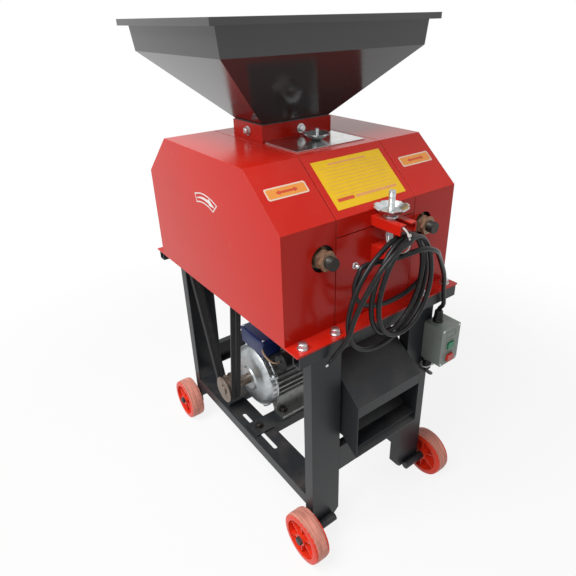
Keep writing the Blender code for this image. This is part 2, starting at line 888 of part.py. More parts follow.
def make_base_plate():
    """The red plate on the stand, cut out for the belts and for the meal, with its bolts."""
    plate = block(
        "base_plate",
        (-base_half_width, -top_rail_face, base_bottom),
        (base_half_width, top_rail_face, base_top),
    )
    belt_slot = block(
        "base_belt_slot",
        (-base_half_width + belt_slot_wall, belt_slot_front, base_bottom - overrun),
        (-belt_slot_inner, housing_half_depth, base_top + overrun),
    )
    discharge = block(
        "base_discharge",
        (-discharge_half, discharge_front, base_bottom - overrun),
        (discharge_half, discharge_rear, base_top + overrun),
    )
    cut(plate, belt_slot, discharge)
    bolts = []
    for x in (-base_bolt_outer, -base_bolt_inner, base_bolt_inner, base_bolt_outer):
        for end in (-1, 1):
            bolts += base_bolt(x, end * (top_rail_face - base_bolt_inset))
    join(plate, *bolts)
    return paint(plate, "red_paint")


def base_bolt(x, y):
    foot = (x, y, base_top - weld_depth)
    washer_top = base_bolt_washer_height + weld_depth
    washer = bar("base_washer", "Z", foot, washer_top, base_bolt_washer, small_sides)
    head = bar("base_bolt", "Z", foot, base_bolt_height + weld_depth, base_bolt_radius, hex_sides)
    return [washer, head]


# Wheels


def wheel_profile():
    """Outline of half a wheel: tread with a seam, rim, thin web and hub, around a bore."""
    half = wheel_width / 2
    hub_top = half
    bore = bore_radius(axle_radius, axle_clearance, round_sides)
    rim = wheel_radius - wheel_tread - wheel_rim
    crown = wheel_radius - wheel_seam
    return [
        (wheel_radius - wheel_tread, half),
        (crown, half - wheel_seam),
        (wheel_radius, half - wheel_tread),
        (wheel_radius, -half + wheel_tread),
        (crown, -half + wheel_seam),
        (wheel_radius - wheel_tread, -half),
        (rim, -half),
        (rim, -wheel_web / 2),
        (wheel_hub_radius, -wheel_web / 2),
        (wheel_hub_radius, -hub_top),
        (bore, -hub_top),
        (bore, hub_top),
        (wheel_hub_radius, hub_top),
        (wheel_hub_radius, wheel_web / 2),
        (rim, wheel_web / 2),
        (rim, half),
    ]


def wheel_ribs(name, place):
    """Straight ribs from the hub to the rim, on both faces of the web."""
    ribs = []
    half = wheel_width / 2 - wheel_rib_recess
    start = wheel_hub_radius - weld_depth
    reach = wheel_radius - wheel_tread - wheel_rim + weld_depth
    for index in range(wheel_rib_count):
        rib = block(
            f"{name}_rib_{index}", (-half, -wheel_rib / 2, start), (half, wheel_rib / 2, reach)
        )
        turn = Matrix.Rotation(2 * math.pi * index / wheel_rib_count, 4, "X")
        rib.matrix_world = Matrix.Translation(place) @ turn
        ribs.append(rib)
    return ribs


def make_wheel(name, side, end):
    place = (side * (wheel_outer_face - wheel_width / 2), end * axle_y, wheel_radius)
    wheel = turned(name, wheel_profile(), "X", place, round_sides, closed=True)
    join(wheel, *wheel_ribs(name, place))
    return paint(wheel, "wheel_plastic")


# Housing


def cover_outline(inset=0.0, bottom=None):
    """The housing's side view: upright, with its top edges cut off front and rear."""
    depth = housing_half_depth - inset
    top = cover_top - inset
    low = cover_bottom if bottom is None else bottom
    run = chamfer_run
    rise = chamfer_rise
    return [
        (-depth, low),
        (-depth, top - rise),
        (-depth + run, top),
        (depth - run, top),
        (depth, top - rise),
        (depth, cover_bottom),
    ]


def make_side_cover(name, side):
    """A folded cover over the drive on one side, with the hole for the gap nut."""
    inner = side * (seam_centre + seam_gap / 2)
    outer = side * housing_half_width
    low_x, high_x = sorted((inner, outer))
    cover = prism(name, cover_outline(), "X", low_x, high_x)

    def is_open(centre, normal):
        faces_inside = abs(centre.x - inner) < merge_distance
        return faces_inside or centre.z < cover_bottom + merge_distance

    sheet_metal(cover, sheet, is_open)
    hole = between(
        name + "_hole",
        "Y",
        -housing_half_depth - overrun,
        -housing_half_depth + sheet + overrun,
        (side * bearing_centre, roller_axis_z),
        nut_hole_radius,
        round_sides,
    )
    return paint(cut(cover, hole), "red_paint")


def make_centre_cover():
    """One folded sheet over the rollers, from the front edge over the top and down the back."""
    half = seam_centre - seam_gap / 2
    cover = prism("centre_cover", cover_outline(bottom=panel_top + seam_gap), "X", -half, half)

    def is_open(centre, normal):
        is_cap = abs(abs(centre.x) - half) < merge_distance
        return is_cap or normal.z < -merge_distance

    sheet_metal(cover, sheet, is_open)
    throat_half = collar_half_depth - collar_steel - gate_slot_clearance
    throat = block(
        "centre_cover_throat",
        (-throat_half_width, hopper_centre - throat_half, cover_top - sheet - overrun),
        (throat_half_width, hopper_centre + throat_half, cover_top + overrun),
    )
    cut(cover, throat)
    stud = between(
        "centre_cover_stud",
        "Z",
        cover_top - weld_depth,
        cover_top + gate_stud_height,
        (gate_stud_x, gate_stud_y),
        gate_stud_radius,
        small_sides,
    )
    return paint(join(cover, stud), "red_paint")


def make_front_panel():
    half = seam_centre - seam_gap / 2
    panel = block(
        "front_panel",
        (-half, -housing_half_depth, cover_bottom),
        (half, -housing_half_depth + sheet, panel_top),
    )
    return paint(panel, "red_paint")


# Hopper and gate


def hopper_rings():
    """Half width, half depth and height of each ring of the hopper's sheet, from the lip inwards."""
    lip = (rim_half_width, rim_half_depth)
    inner = (rim_half_width - rim_flat, rim_half_depth - rim_flat)
    band = (band_half_width - hopper_sheet, band_half_depth - hopper_sheet)
    mouth = (mouth_half_width - hopper_sheet, mouth_half_depth - hopper_sheet)
    return [
        (*lip, rim_top - rim_drop),
        (*lip, rim_top),
        (*inner, rim_top),
        (*band, band_bottom),
        (*mouth, mouth_height),
        (*mouth, mouth_height - neck_depth),
    ]


def ring_verts(shape, half_x, half_y, height):
    corners = ((1, 1), (-1, 1), (-1, -1), (1, -1))
    return [
        shape.verts.new((side * half_x, hopper_centre + end * half_y, height)) for side, end in corners
    ]


def make_hopper():
    """One folded and welded sheet: lip, rim, upright band, four sloping sides and neck."""
    shape = bmesh.new()
    rings = [ring_verts(shape, *ring) for ring in hopper_rings()]
    for first, second in zip(rings, rings[1:]):
        for index in range(len(first)):
            shape.faces.new((first[index - 1], first[index], second[index], second[index - 1]))
    mesh = bpy.data.meshes.new("hopper")
    shape.to_mesh(mesh)
    shape.free()
    return paint(give_thickness(object_from("hopper", mesh), hopper_sheet), "hopper_paint")


def make_collar():
    """The red frame under the hopper; the gate slides out below its front wall."""
    front = hopper_centre - collar_half_depth
    rear = hopper_centre + collar_half_depth
    collar = block(
        "hopper_collar", (-collar_half_width, front, gate_bottom), (collar_half_width, rear, collar_top)
    )
    inner = collar_half_width - collar_steel
    bore = block(
        "hopper_collar_bore",
        (-inner, front + collar_steel, gate_bottom - overrun),
        (inner, rear - collar_steel, collar_top + overrun),
    )
    gate_mouth = block(
        "hopper_collar_gate_mouth",
        (-inner, front - overrun, gate_bottom - overrun),
        (inner, front + collar_steel + overrun, gate_top + axle_clearance),
    )
    return paint(cut(collar, bore, gate_mouth), "red_paint")


def make_slide_gate():
    """The stainless gate plate, slotted for its locking stud."""
    gate = block(
        "slide_gate",
        (-gate_half_width, gate_front, gate_bottom),
        (gate_half_width, gate_rear, gate_top),
    )
    half = gate_slot_width / 2
    slot_front = gate_stud_y - half - gate_slot_clearance
    slot_rear = gate_stud_y + half + gate_travel + gate_slot_clearance
    slot = block(
        "slide_gate_slot",
        (gate_stud_x - half, slot_front, gate_bottom - overrun),
        (gate_stud_x + half, slot_rear, gate_top + overrun),
    )
    round_edges(slot, half - weld_depth / 2, 4, "Z")
    return paint(cut(gate, slot), "stainless")


def lobed_nut(name, place, radius, height, hub_radius, pin_radius):
    """A pressed star nut: a dished disc with round notches, on a short hub, around a bore."""
    dish = radius * dish_share
    profile = [
        (radius, height),
        (radius - hand_nut_steel, height - hand_nut_steel),
        (radius - dish, height - dish + hand_nut_steel),
        (hub_radius + hand_nut_steel, height - dish),
        (hub_radius, 0),
        (bore_radius(pin_radius, axle_clearance, fine_sides), 0),
        (bore_radius(pin_radius, axle_clearance, fine_sides), height - dish + hand_nut_steel * 2),
        (hub_radius, height - dish + hand_nut_steel * 2),
        (radius - dish, height - dish + hand_nut_steel * 2),
        (radius - hand_nut_steel, height),
    ]
    nut = turned(name, profile, "Z", place, fine_sides, closed=True)
    notches = []
    for index, (x, y) in enumerate(ring_points(radius * lobe_pitch_share, hand_nut_lobes)):
        foot = (place[0] + x, place[1] + y, place[2] - overrun)
        notch_radius = radius * lobe_notch_share
        depth = height + 2 * overrun
        notches.append(bar(f"{name}_notch_{index}", "Z", foot, depth, notch_radius, small_sides))
    return paint(cut(nut, *notches), "zinc")


# Clamp at the front


def make_clamp_fork():
    """A folded channel, open below, whose front is slotted for the clamp bolt."""
    rear = -housing_half_depth - seat_gap
    low_x = fork_centre - fork_half_width
    high_x = fork_centre + fork_half_width
    bottom = fork_top - fork_height
    fork = block("clamp_fork", (low_x, fork_front, bottom), (high_x, rear, fork_top))
    hollow = block(
        "clamp_fork_hollow",
        (low_x + fork_steel, fork_front - overrun, bottom - overrun),
        (high_x - fork_steel, rear + overrun, fork_top - fork_steel),
    )
    slot = block(
        "clamp_fork_slot",
        (fork_centre - fork_slot_half, fork_front - overrun, bottom - overrun),
        (fork_centre + fork_slot_half, fork_slot_rear, fork_top + overrun),
    )
    return paint(cut(fork, hollow, slot), "red_paint")


def make_clamp_bolt():
    """The threaded rod through the fork, on the lug that stands out of the front panel."""
    lug = block(
        "clamp_bolt",
        (fork_centre - lug_half_width, lug_front, lug_top - lug_height),
        (fork_centre + lug_half_width, -housing_half_depth - seat_gap, lug_top),
    )
    rod = between(
        "clamp_bolt_rod",
        "Z",
        lug_top - weld_depth,
        clamp_bolt_top,
        (fork_centre, clamp_bolt_y),
        clamp_bolt_radius,
        small_sides,
    )
    washer = bar(
        "clamp_bolt_collar",
        "Z",
        (fork_centre, clamp_bolt_y, lug_top - 2 * weld_depth),
        washer_height + 2 * weld_depth,
        clamp_collar_radius,
        small_sides,
    )
    return paint(join(lug, rod, washer), "red_paint")


def make_handwheel():
    place = (fork_centre, clamp_bolt_y, fork_top + seat_gap)
    wheel = lobed_nut(
        "clamp_handwheel",
        place,
        handwheel_radius,
        handwheel_height + washer_height,
        handwheel_hub,
        clamp_bolt_radius,
    )
    washer = turned(
        "clamp_handwheel_washer",
        [
            (washer_radius, washer_height),
            (washer_radius, 0),
            (bore_radius(clamp_bolt_radius, axle_clearance * 2, fine_sides), 0),
            (bore_radius(clamp_bolt_radius, axle_clearance * 2, fine_sides), washer_height),
        ],
        "Z",
        place,
        fine_sides,
        closed=True,
    )
    return join(wheel, washer)


# Mill


def make_side_frame(name, side):
    """A mill wall with the ledge that carries the bearings and the lug for the gap stud."""
    inner = wall_inner
    outer = wall_inner + wall_steel
    low_x, high_x = sorted((side * inner, side * outer))
    wall = prism(name, cover_outline(wall_inset + sheet), "X", low_x, high_x)
    ledge_x = sorted((side * (outer - weld_depth), side * ledge_outer))
    ledge = block(
        name + "_ledge",
        (ledge_x[0], ledge_front, ledge_top - ledge_steel),
        (ledge_x[1], ledge_rear, ledge_top),
    )
    stud_lug = block(
        name + "_stud_lug",
        (ledge_x[0], stud_lug_face, ledge_top - ledge_steel),
        (ledge_x[1], stud_lug_face + stud_lug_steel, roller_axis_z + bearing_half_height),
    )
    join(wall, ledge, stud_lug, *ledge_ribs(name, ledge_x))
    cut(wall, *side_frame_holes(name, side, ledge_x))
    return paint(wall, "cast_iron")


def ledge_ribs(name, ledge_x):
    """Upright ribs that carry the ledge on the base plate."""
    ribs = []
    for index, share in enumerate(rib_places_share):
        y = ledge_front + (ledge_rear - ledge_front) * share
        foot = (ledge_x[0], y, cover_bottom)
        head = (ledge_x[1], y + rib_steel, ledge_top - ledge_steel + weld_depth)
        ribs.append(block(f"{name}_rib_{index}", foot, head))
    return ribs


def side_frame_holes(name, side, ledge_x):
    """Holes for both shafts and for the gap stud."""
    hole_radius = shaft_radius + wall_hole_clearance
    outer = wall_inner + wall_steel
    hole_x = sorted((side * (wall_inner - overrun), side * (outer + overrun)))
    rear = between(
        name + "_rear_hole", "X", *hole_x, (fixed_roller_y, roller_axis_z), hole_radius, round_sides
    )
    front_round = between(
        name + "_front_hole", "X", *hole_x, (moving_roller_y, roller_axis_z), hole_radius, round_sides
    )
    front_slot = block(
        name + "_front_slot",
        (hole_x[0], moving_roller_y - hole_radius - gap_travel, roller_axis_z - hole_radius / 2),
        (hole_x[1], moving_roller_y, roller_axis_z + hole_radius / 2),
    )
    stud = between(
        name + "_stud_hole",
        "Y",
        stud_lug_face - overrun,
        stud_lug_face + stud_lug_steel + overrun,
        (side * bearing_centre, roller_axis_z),
        stud_radius + stud_hole_clearance,
        round_sides,
    )
    return [rear, front_round, front_slot, stud]


def bearing_block(name, side, y):
    """A block around the shaft, seated on its ledge."""
    centre = side * bearing_centre
    body = block(
        name,
        (centre - bearing_half_width, y - bearing_half_depth, roller_axis_z - bearing_half_height),
        (centre + bearing_half_width, y + bearing_half_depth, roller_axis_z + bearing_half_height),
    )
    round_edges(body, bearing_bevel, 2, "X")
    bore = between(
        name + "_bore",
        "X",
        centre - bearing_half_width - overrun,
        centre + bearing_half_width + overrun,
        (y, roller_axis_z),
        bore_radius(shaft_radius, running_clearance, round_sides),
        round_sides,
    )
    return body, bore


def make_fixed_bearing(name, side):
    body, bore = bearing_block(name, side, fixed_roller_y)
    return paint(cut(body, bore), "cast_iron")


def make_sliding_bearing(name, side):
    """A bearing block with the stud that leads forward through the lug and the cover."""
    body, bore = bearing_block(name, side, moving_roller_y)
    start = moving_roller_y - bearing_half_depth
    stud = between(
        name + "_stud",
        "Y",
        stud_end,
        start + weld_depth,
        (side * bearing_centre, roller_axis_z),
        stud_radius,
        small_sides,
    )
    cut(body, bore)
    return paint(join(body, stud), "cast_iron")


def make_gap_nut(name, side):
    """The hexagon nut and its washer on a gap stud, against the lug."""
    face = stud_lug_face - seat_gap
    centre = (side * bearing_centre, roller_axis_z)
    corner = gap_nut_flats / 2 / math.cos(math.pi / hex_sides)
    nut_low = face - gap_nut_washer - gap_nut_height
    nut = between(name, "Y", nut_low, face - gap_nut_washer + weld_depth, centre, corner, hex_sides)
    washer = between(
        name + "_washer", "Y", face - gap_nut_washer, face, centre, gap_nut_washer_radius, round_sides
    )
    bore = between(
        name + "_bore",
        "Y",
        nut_low - overrun,
        face + overrun,
        centre,
        bore_radius(stud_radius, axle_clearance, small_sides),
        small_sides,
    )
    cut(join(nut, washer), bore)
    turn_about(nut, (centre[0], face, centre[1]))
    return paint(nut, "nut_steel")


def roller_profile(low_end, high_end):
    """A roller with its stepped shaft, turned in one piece, from the high end to the low end."""
    return [
        (0, high_end),
        (shaft_radius, high_end),
        (shaft_radius, roller_half_length),
        (roller_radius, roller_half_length),
        (roller_radius, -roller_half_length),
        (shaft_radius, -roller_half_length),
        (shaft_radius, -low_end),
        (0, -low_end),
    ]


def make_roller(name, y, low_end):
    place = (0, y, roller_axis_z)
    roller = turned(name, roller_profile(low_end, shaft_end), "X", place, round_sides)
    return paint(roller, "roller_steel")


def tooth_points(teeth, module):
    """One tooth: root, two places on each flank and the tip, about the angle zero."""
    pitch = teeth * module / 2
    root = pitch - gear_root_share * module
    tip = pitch + gear_tip_share * module
    slope = math.tan(gear_pressure_angle)
    half = (math.pi * module / 2 - gear_backlash) / 2

    def half_angle(radius):
        return (half - (radius - pitch) * slope) / radius

    foot = pitch - module
    right = [(root, half_angle(foot)), (foot, half_angle(foot)), (tip, half_angle(tip))]
    return [(radius, -angle) for radius, angle in right] + [
        (radius, angle) for radius, angle in reversed(right)
    ]


def gear_outline(teeth, module):
    points = []
    for tooth in range(teeth):
        middle = 2 * math.pi * tooth / teeth
        for radius, angle in tooth_points(teeth, module):
            turn = middle + angle
            points.append((radius * math.cos(turn), radius * math.sin(turn)))
    return points


def make_gear(name, y):
    """A spur gear on the roller's right end; its first tooth points to the rear."""
    place = (gear_inner, y, roller_axis_z)
    gear = prism(name, gear_outline(gear_teeth, gear_module), "X", 0, gear_width)
    bore = between(
        name + "_bore",
        "X",
        -overrun,
        gear_width + overrun,
        (0, 0),
        shaft_radius + key_clearance,
        round_sides,
    )
    cut(gear, bore)
    bore.location = place
    gear.location = place
    return paint(gear, "roller_steel")


# Belt drive


def groove_places():
    """The middle of each belt, measured from the pulley's outer face."""
    return (pulley_edge, pulley_edge + belt_pitch)


def pulley_width():
    return 2 * pulley_edge + belt_pitch


def grooved_edge(radius):
    """The pulley's outer side with its two belt grooves, from the top down."""
    width = pulley_width()
    half_back = belt_width / 2 + belt_clearance
    half_face = belt_width * belt_face_share / 2 + belt_clearance
    bottom = radius + belt_proud - belt_height - 2 * belt_clearance
    points = [(radius, width)]
    for place in groove_places():
        top = width - place
        points += [
            (radius, top + half_back),
            (bottom, top + half_face),
            (bottom, top - half_face),
            (radius, top - half_back),
        ]
    return points + [(radius, 0)]


def make_roller_pulley():
    """The large pulley: grooved rim, thin web and hub, on the fixed roller's left end."""
    width = pulley_width()
    rim = roller_pulley_radius - roller_pulley_rim
    web_low = (width - roller_pulley_web) / 2
    web_high = (width + roller_pulley_web) / 2
    bore = shaft_radius + key_clearance
    profile = grooved_edge(roller_pulley_radius) + [
        (rim, 0),
        (rim, web_low),
        (roller_pulley_hub, web_low),
        (roller_pulley_hub, 0),
        (bore, 0),
        (bore, width),
        (roller_pulley_hub, width),
        (roller_pulley_hub, web_high),
        (rim, web_high),
        (rim, width),
    ]
    place = (-pulley_outer_face, fixed_roller_y, roller_axis_z)
    return paint(turned("roller_pulley", profile, "X", place, fine_sides, closed=True), "cast_iron")


def make_motor_pulley():
    width = pulley_width()
    bore = motor_shaft_radius + key_clearance
    profile = grooved_edge(motor_pulley_radius) + [(bore, 0), (bore, width)]
    place = (-pulley_outer_face, motor_y, motor_z)
    return paint(turned("motor_pulley", profile, "X", place, round_sides, closed=True), "bright_steel")


def belt_path(grow):
    """The loop round both pulleys, as (y, z) points: two arcs joined by their tangents."""
    small = Vector((motor_y, motor_z))
    large = Vector((fixed_roller_y, roller_axis_z))
    small_radius = motor_pulley_radius + grow
    large_radius = roller_pulley_radius + grow
    line = large - small
    along = math.atan2(line.y, line.x)
    half = math.pi - math.acos((large_radius - small_radius) / line.length)
    upper = arc_points(large, large_radius, along - half, along + half, large_arc_steps, False)
    lower = arc_points(small, small_radius, along + half, along - half, small_arc_steps, True)
    return upper + lower


def arc_points(centre, radius, first, last, steps, far_side):
    """Points on an arc; far_side takes the way round that passes away from the other pulley."""
    sweep = last - first
    if far_side and sweep < 0:
        sweep += 2 * math.pi
    angles = [first + sweep * index / steps for index in range(steps + 1)]
    return [
        (centre.x + radius * math.cos(angle), centre.y + radius * math.sin(angle)) for angle in angles
    ]


def belt_section(name):
    """The V belt's cross section: wide at its back, narrow at its face."""
    data = bpy.data.curves.new(name + "_section", "CURVE")
    data.dimensions = "2D"
    spline = data.splines.new("POLY")
    half_back = belt_width * belt_back_share / 2
    half_face = belt_width * belt_face_share / 2
    corners = (
        (0, -half_back),
        (0, half_back),
        (belt_height, half_face),
        (belt_height, -half_face),
    )
    spline.points.add(len(corners) - 1)
    for point, (depth, across) in zip(spline.points, corners):
        point.co = (depth, across, 0, 1)
    spline.use_cyclic_u = True
    section = bpy.data.objects.new(name + "_section", data)
    cutters.objects.link(section)
    section.hide_render = True
    section.display_type = "WIRE"
    return section


def make_belt(name, place):
    """A V belt: its section carried round the path of its back."""
    data = bpy.data.curves.new(name, "CURVE")
    data.dimensions = "2D"
    data.bevel_mode = "OBJECT"
    data.bevel_object = belt_section(name)
    path = belt_path(belt_proud)
    spline = data.splines.new("POLY")
    spline.points.add(len(path) - 1)
    for point, (y, z) in zip(spline.points, path):
        point.co = (y, z, 0, 1)
    spline.use_cyclic_u = True
    shape = curve_to_mesh(name, data)
    middle = -pulley_outer_face + pulley_width() - place
    turn = Matrix.Translation((middle, 0, 0)) @ outline_plane("X")
    bmesh.ops.transform(shape, matrix=turn, verts=shape.verts)
    return paint(mesh_from(name, shape), "belt_rubber")


# Motor


def motor_outline():
    """The ribbed body seen along its axis."""
    points = []
    step = 2 * math.pi / motor_rib_count
    root = motor_radius - motor_rib_height
    shape = (
        (-0.5, root),
        (-motor_rib_share / 2, root),
        (-motor_rib_share / 3, motor_radius),
        (motor_rib_share / 3, motor_radius),
        (motor_rib_share / 2, root),
    )
    for rib in range(motor_rib_count):
        for share, radius in shape:
            angle = step * (rib + share)
            points.append((motor_y + radius * math.cos(angle), motor_z + radius * math.sin(angle)))
    return points


def make_motor_body():
    """The ribbed body on two foot bars, with the foot bolts."""
    start = -motor_drive_face + motor_shield_width + seat_gap
    body = prism("motor_body", motor_outline(), "X", start, motor_body_end)
    feet = []
    floor = motor_bar_top + seat_gap
    for index, end in enumerate((-1, 1)):
        y = motor_y + end * motor_foot_spread
        feet.append(motor_foot(index, end, y, floor))
        feet.append(motor_foot_web(index, end, y, floor))
        for bolt in (-1, 1):
            x = motor_foot_bolt_x + bolt * motor_foot_bolt_spread
            foot = (x, y, floor + motor_foot_thickness - weld_depth)
            height = motor_foot_bolt_height + weld_depth
            name = f"motor_foot_bolt_{index}_{bolt}"
            feet.append(bar(name, "Z", foot, height, motor_foot_bolt_radius, hex_sides))
    join(body, *feet)
    shaft_room = between(
        "motor_shaft_room",
        "X",
        start - overrun,
        start + motor_shaft_inside,
        (motor_y, motor_z),
        motor_shaft_radius + axle_clearance * 2,
        round_sides,
    )
    return paint(cut(body, shaft_room), "motor_alloy")


def motor_foot(index, end, y, floor):
    """A flat foot bar along the motor."""
    middle = motor_foot_bolt_x
    half = motor_foot_length / 2
    return block(
        f"motor_foot_{index}",
        (middle - half, y - motor_foot_width / 2, floor),
        (middle + half, y + motor_foot_width / 2, floor + motor_foot_thickness),
    )


def motor_foot_web(index, end, y, floor):
    """The sloping wall between a foot and the body."""
    middle = motor_foot_bolt_x
    half = motor_foot_length / 2 - weld_depth
    top = floor + motor_foot_thickness - weld_depth
    inner = y - end * (motor_foot_width / 2 - weld_depth)
    outline = [
        (inner, top),
        (inner + end * motor_foot_width / 3, top),
        (motor_y + end * (motor_radius - motor_rib_height) * 0.96, motor_z),
        (motor_y + end * motor_shaft_radius, motor_z),
    ]
    return prism(f"motor_foot_web_{index}", outline, "X", middle - half, middle + half)


def make_motor_shield():
    """The drive end shield: a stepped disc with a boss and a bore for the shaft."""
    bore = bore_radius(motor_shaft_radius, axle_clearance, round_sides)
    profile = [
        (motor_shield_face_radius, motor_shield_width),
        (motor_radius, motor_shield_width / 2),
        (motor_radius, 0),
        (bore, 0),
        (bore, motor_shield_width + motor_shield_boss),
        (motor_shield_boss_radius, motor_shield_width + motor_shield_boss),
        (motor_shield_boss_radius, motor_shield_width),
    ]
    place = (-motor_drive_face + motor_shield_width, motor_y, motor_z)
    shield = turned("motor_end_shield", profile, "X", place, fine_sides, closed=True)
    shield.matrix_world = (
        Matrix.Translation(place) @ Matrix.Rotation(math.pi, 4, "Z") @ axis_turn("X")
    )
    return paint(shield, "shield_alloy")


def make_motor_shaft():
    """The motor's shaft, from inside the body out through the pulley."""
    start = -pulley_outer_face - belt_proud * 2
    end = -motor_drive_face + motor_shield_width + motor_shaft_inside - overrun
    place = (0, motor_y, motor_z)
    profile = [
        (0, end),
        (motor_shaft_radius, end),
        (motor_shaft_radius, start),
        (0, start),
    ]
    return paint(turned("motor_shaft", profile, "X", place, round_sides), "bright_steel")


def make_fan_cover():
    """The pressed cover over the fan, with its air holes in the end."""
    length = motor_fan_length
    radius = motor_fan_radius
    inner = radius - motor_fan_sheet
    profile = [
        (0, length),
        (radius - motor_fan_round, length),
        (radius, length - motor_fan_round),
        (radius, 0),
        (inner, 0),
        (inner, length - motor_fan_round),
        (inner - motor_fan_round + motor_fan_sheet, length - motor_fan_sheet),
        (0, length - motor_fan_sheet),
    ]
    place = (motor_body_end + seat_gap, motor_y, motor_z)
    cover = turned("motor_fan_cover", profile, "X", place, fine_sides)
    holes = []
    end = motor_body_end + length
    for index, (y, z) in enumerate(ring_points(radius / 2, hand_nut_lobes)):
        centre = (motor_y + y, motor_z + z)
        name = f"fan_hole_{index}"
        hole_radius = motor_fan_round * 0.75
        depth = (end - overrun - motor_fan_sheet, end + overrun)
        holes.append(between(name, "X", *depth, centre, hole_radius, small_sides))
    return paint(cut(cover, *holes), "motor_alloy")


def make_terminal_box():
    """The blue box on top of the motor, with its lid's edge standing out."""
    floor = motor_z + motor_radius + seat_gap
    box = block(
        "motor_terminal_box",
        (terminal_box_left, terminal_box_front, floor),
        (terminal_box_right, terminal_box_rear, terminal_box_top - terminal_box_lid + weld_depth),
    )
    edge = terminal_box_lid_edge
    lid = block(
        "motor_terminal_box_lid",
        (terminal_box_left - edge, terminal_box_front - edge, terminal_box_top - terminal_box_lid),
        (terminal_box_right + edge, terminal_box_rear + edge, terminal_box_top),
    )
    round_edges(lid, terminal_box_bevel, 2)
    return paint(join(box, lid), "blue_plastic")


def make_capacitor():
    """The black capacitor can on the motor's front shoulder, with its two feet."""
    reach = motor_radius + capacitor_radius + seat_gap + capacitor_foot / 4
    y = motor_y + reach * math.cos(capacitor_angle)
    z = motor_z + reach * math.sin(capacitor_angle)
    profile = [
        (0, capacitor_length),
        (capacitor_radius - capacitor_round, capacitor_length),
        (capacitor_radius, capacitor_length - capacitor_round),
        (capacitor_radius, capacitor_round),
        (capacitor_radius - capacitor_round, 0),
        (0, 0),
    ]
    can = turned("motor_capacitor", profile, "X", (capacitor_left, y, z), round_sides)
    feet = []
    half = capacitor_foot / 2
    inner = -capacitor_radius - capacitor_foot / 4
    for index, share in enumerate((0.2, 0.8)):
        x = capacitor_left + capacitor_length * share
        foot = block(
            f"motor_capacitor_foot_{index}",
            (-half, inner, -half),
            (half, -capacitor_radius / 2, half),
        )
        turn = Matrix.Rotation(capacitor_angle, 4, "X")
        foot.matrix_world = Matrix.Translation((x, y, z)) @ turn
        feet.append(foot)
    return paint(join(can, *feet), "black_plastic")


# Discharge chute


def chute_outline(inset, past):
    """The duct's side view; past lengthens it beyond its mouth and its top for the inner cut."""
    top = base_bottom - seat_gap
    roof_run = Vector((chute_roof_top_y - chute_mouth_y, top - chute_mouth_top))
    floor_run = Vector((chute_floor_top_y - chute_mouth_y, top - chute_mouth_bottom))
    roof_drop = inset * roof_run.length / roof_run.x
    floor_lift = inset * floor_run.length / floor_run.x
    roof_past = past / roof_run.x * roof_run
    floor_past = past / floor_run.x * floor_run
    return [
        (chute_mouth_y - roof_past.x, chute_mouth_top - roof_drop - roof_past.y),
        (chute_roof_top_y + roof_past.x, top - roof_drop + roof_past.y),
        (chute_floor_top_y + floor_past.x, top + floor_lift + floor_past.y),
        (chute_mouth_y - floor_past.x, chute_mouth_bottom + floor_lift - floor_past.y),
    ]


def make_chute():
    """The discharge duct: four sheet walls, open under the rollers and at its front mouth."""
    duct = prism("discharge_chute", chute_outline(0, 0), "X", -chute_half_width, chute_half_width)
    inner = chute_half_width - chute_steel
    bore = prism("discharge_chute_bore", chute_outline(chute_steel, overrun * 4), "X", -inner, inner)
    return paint(cut(duct, bore), "frame_paint")


# Switch box


def make_switch_base():
    """The rear half of the box, with a cable gland above and one below."""
    rear = -leg_face - seat_gap
    front = rear - box_base_depth
    right = box_left + box_width
    top = box_bottom + box_height
    base = block("switch_box_base", (box_left, front, box_bottom), (right, rear, top))
    round_edges(base, box_round, 3, "Y")
    upper = bar(
        "switch_box_upper_gland",
        "Z",
        (gland_x, gland_y, top - weld_depth),
        gland_height + weld_depth,
        gland_radius,
        small_sides,
        gland_tip_radius,
    )
    lower = bar(
        "switch_box_lower_gland",
        "Z",
        (lower_gland_x, lower_gland_y, box_bottom - gland_height),
        gland_height + weld_depth,
        gland_tip_radius,
        small_sides,
        gland_radius,
    )
    return paint(join(base, upper, lower), "box_plastic")


def button_size(grow):
    return (button_width / 2 + grow, button_height / 2 + grow)


def make_switch_cover():
    """The front half of the box, with a pocket for each button."""
    rear = -leg_face - seat_gap - box_base_depth - seat_gap
    front = rear - box_cover_depth
    right = box_left + box_width
    top = box_bottom + box_height
    cover = block("switch_box_cover", (box_left, front, box_bottom), (right, rear, top))
    round_edges(cover, box_round, 3, "Y")
    half_width, half_height = button_size(button_clearance)
    pockets = []
    for height in (start_button_z, stop_button_z):
        pocket = block(
            f"switch_box_pocket_{len(pockets)}",
            (button_x - half_width, front - overrun, height - half_height),
            (button_x + half_width, front + button_pocket, height + half_height),
        )
        round_edges(pocket, button_round + button_clearance, 3, "Y")
        pockets.append(pocket)
    return paint(cut(cover, *pockets), "box_plastic")


def make_button(name, height, proud, colour):
    """A push button in its pocket; it stands out by its own amount."""
    front = -leg_face - 2 * seat_gap - box_base_depth - box_cover_depth
    half_width, half_height = button_size(0)
    button = block(
        name,
        (-half_width, -proud, -half_height),
        (half_width, button_length - proud, half_height),
    )
    round_edges(button, button_round, 3, "Y")
    button.location = (button_x, front, height)
    return paint(button, colour)


# Cords


def between_turns(values, turns):
    """A smooth value between the turns' own values, which hold at the bottom of each turn."""
    place = min(max(turns - 0.5, 0.0), len(values) - 1.0)
    index = min(int(place), len(values) - 2)
    share = place - index
    ease = (1 - math.cos(math.pi * share)) / 2
    return values[index] + (values[index + 1] - values[index]) * ease


def coil_layer(turns):
    """Whole layers, with a smooth step to the next one round the top of each turn."""
    nearest = round(turns)
    share = (turns - nearest) / (2 * coil_layer_step_share) + 0.5
    share = min(max(share, 0.0), 1.0)
    return nearest - 1 + share * share * (3 - 2 * share)


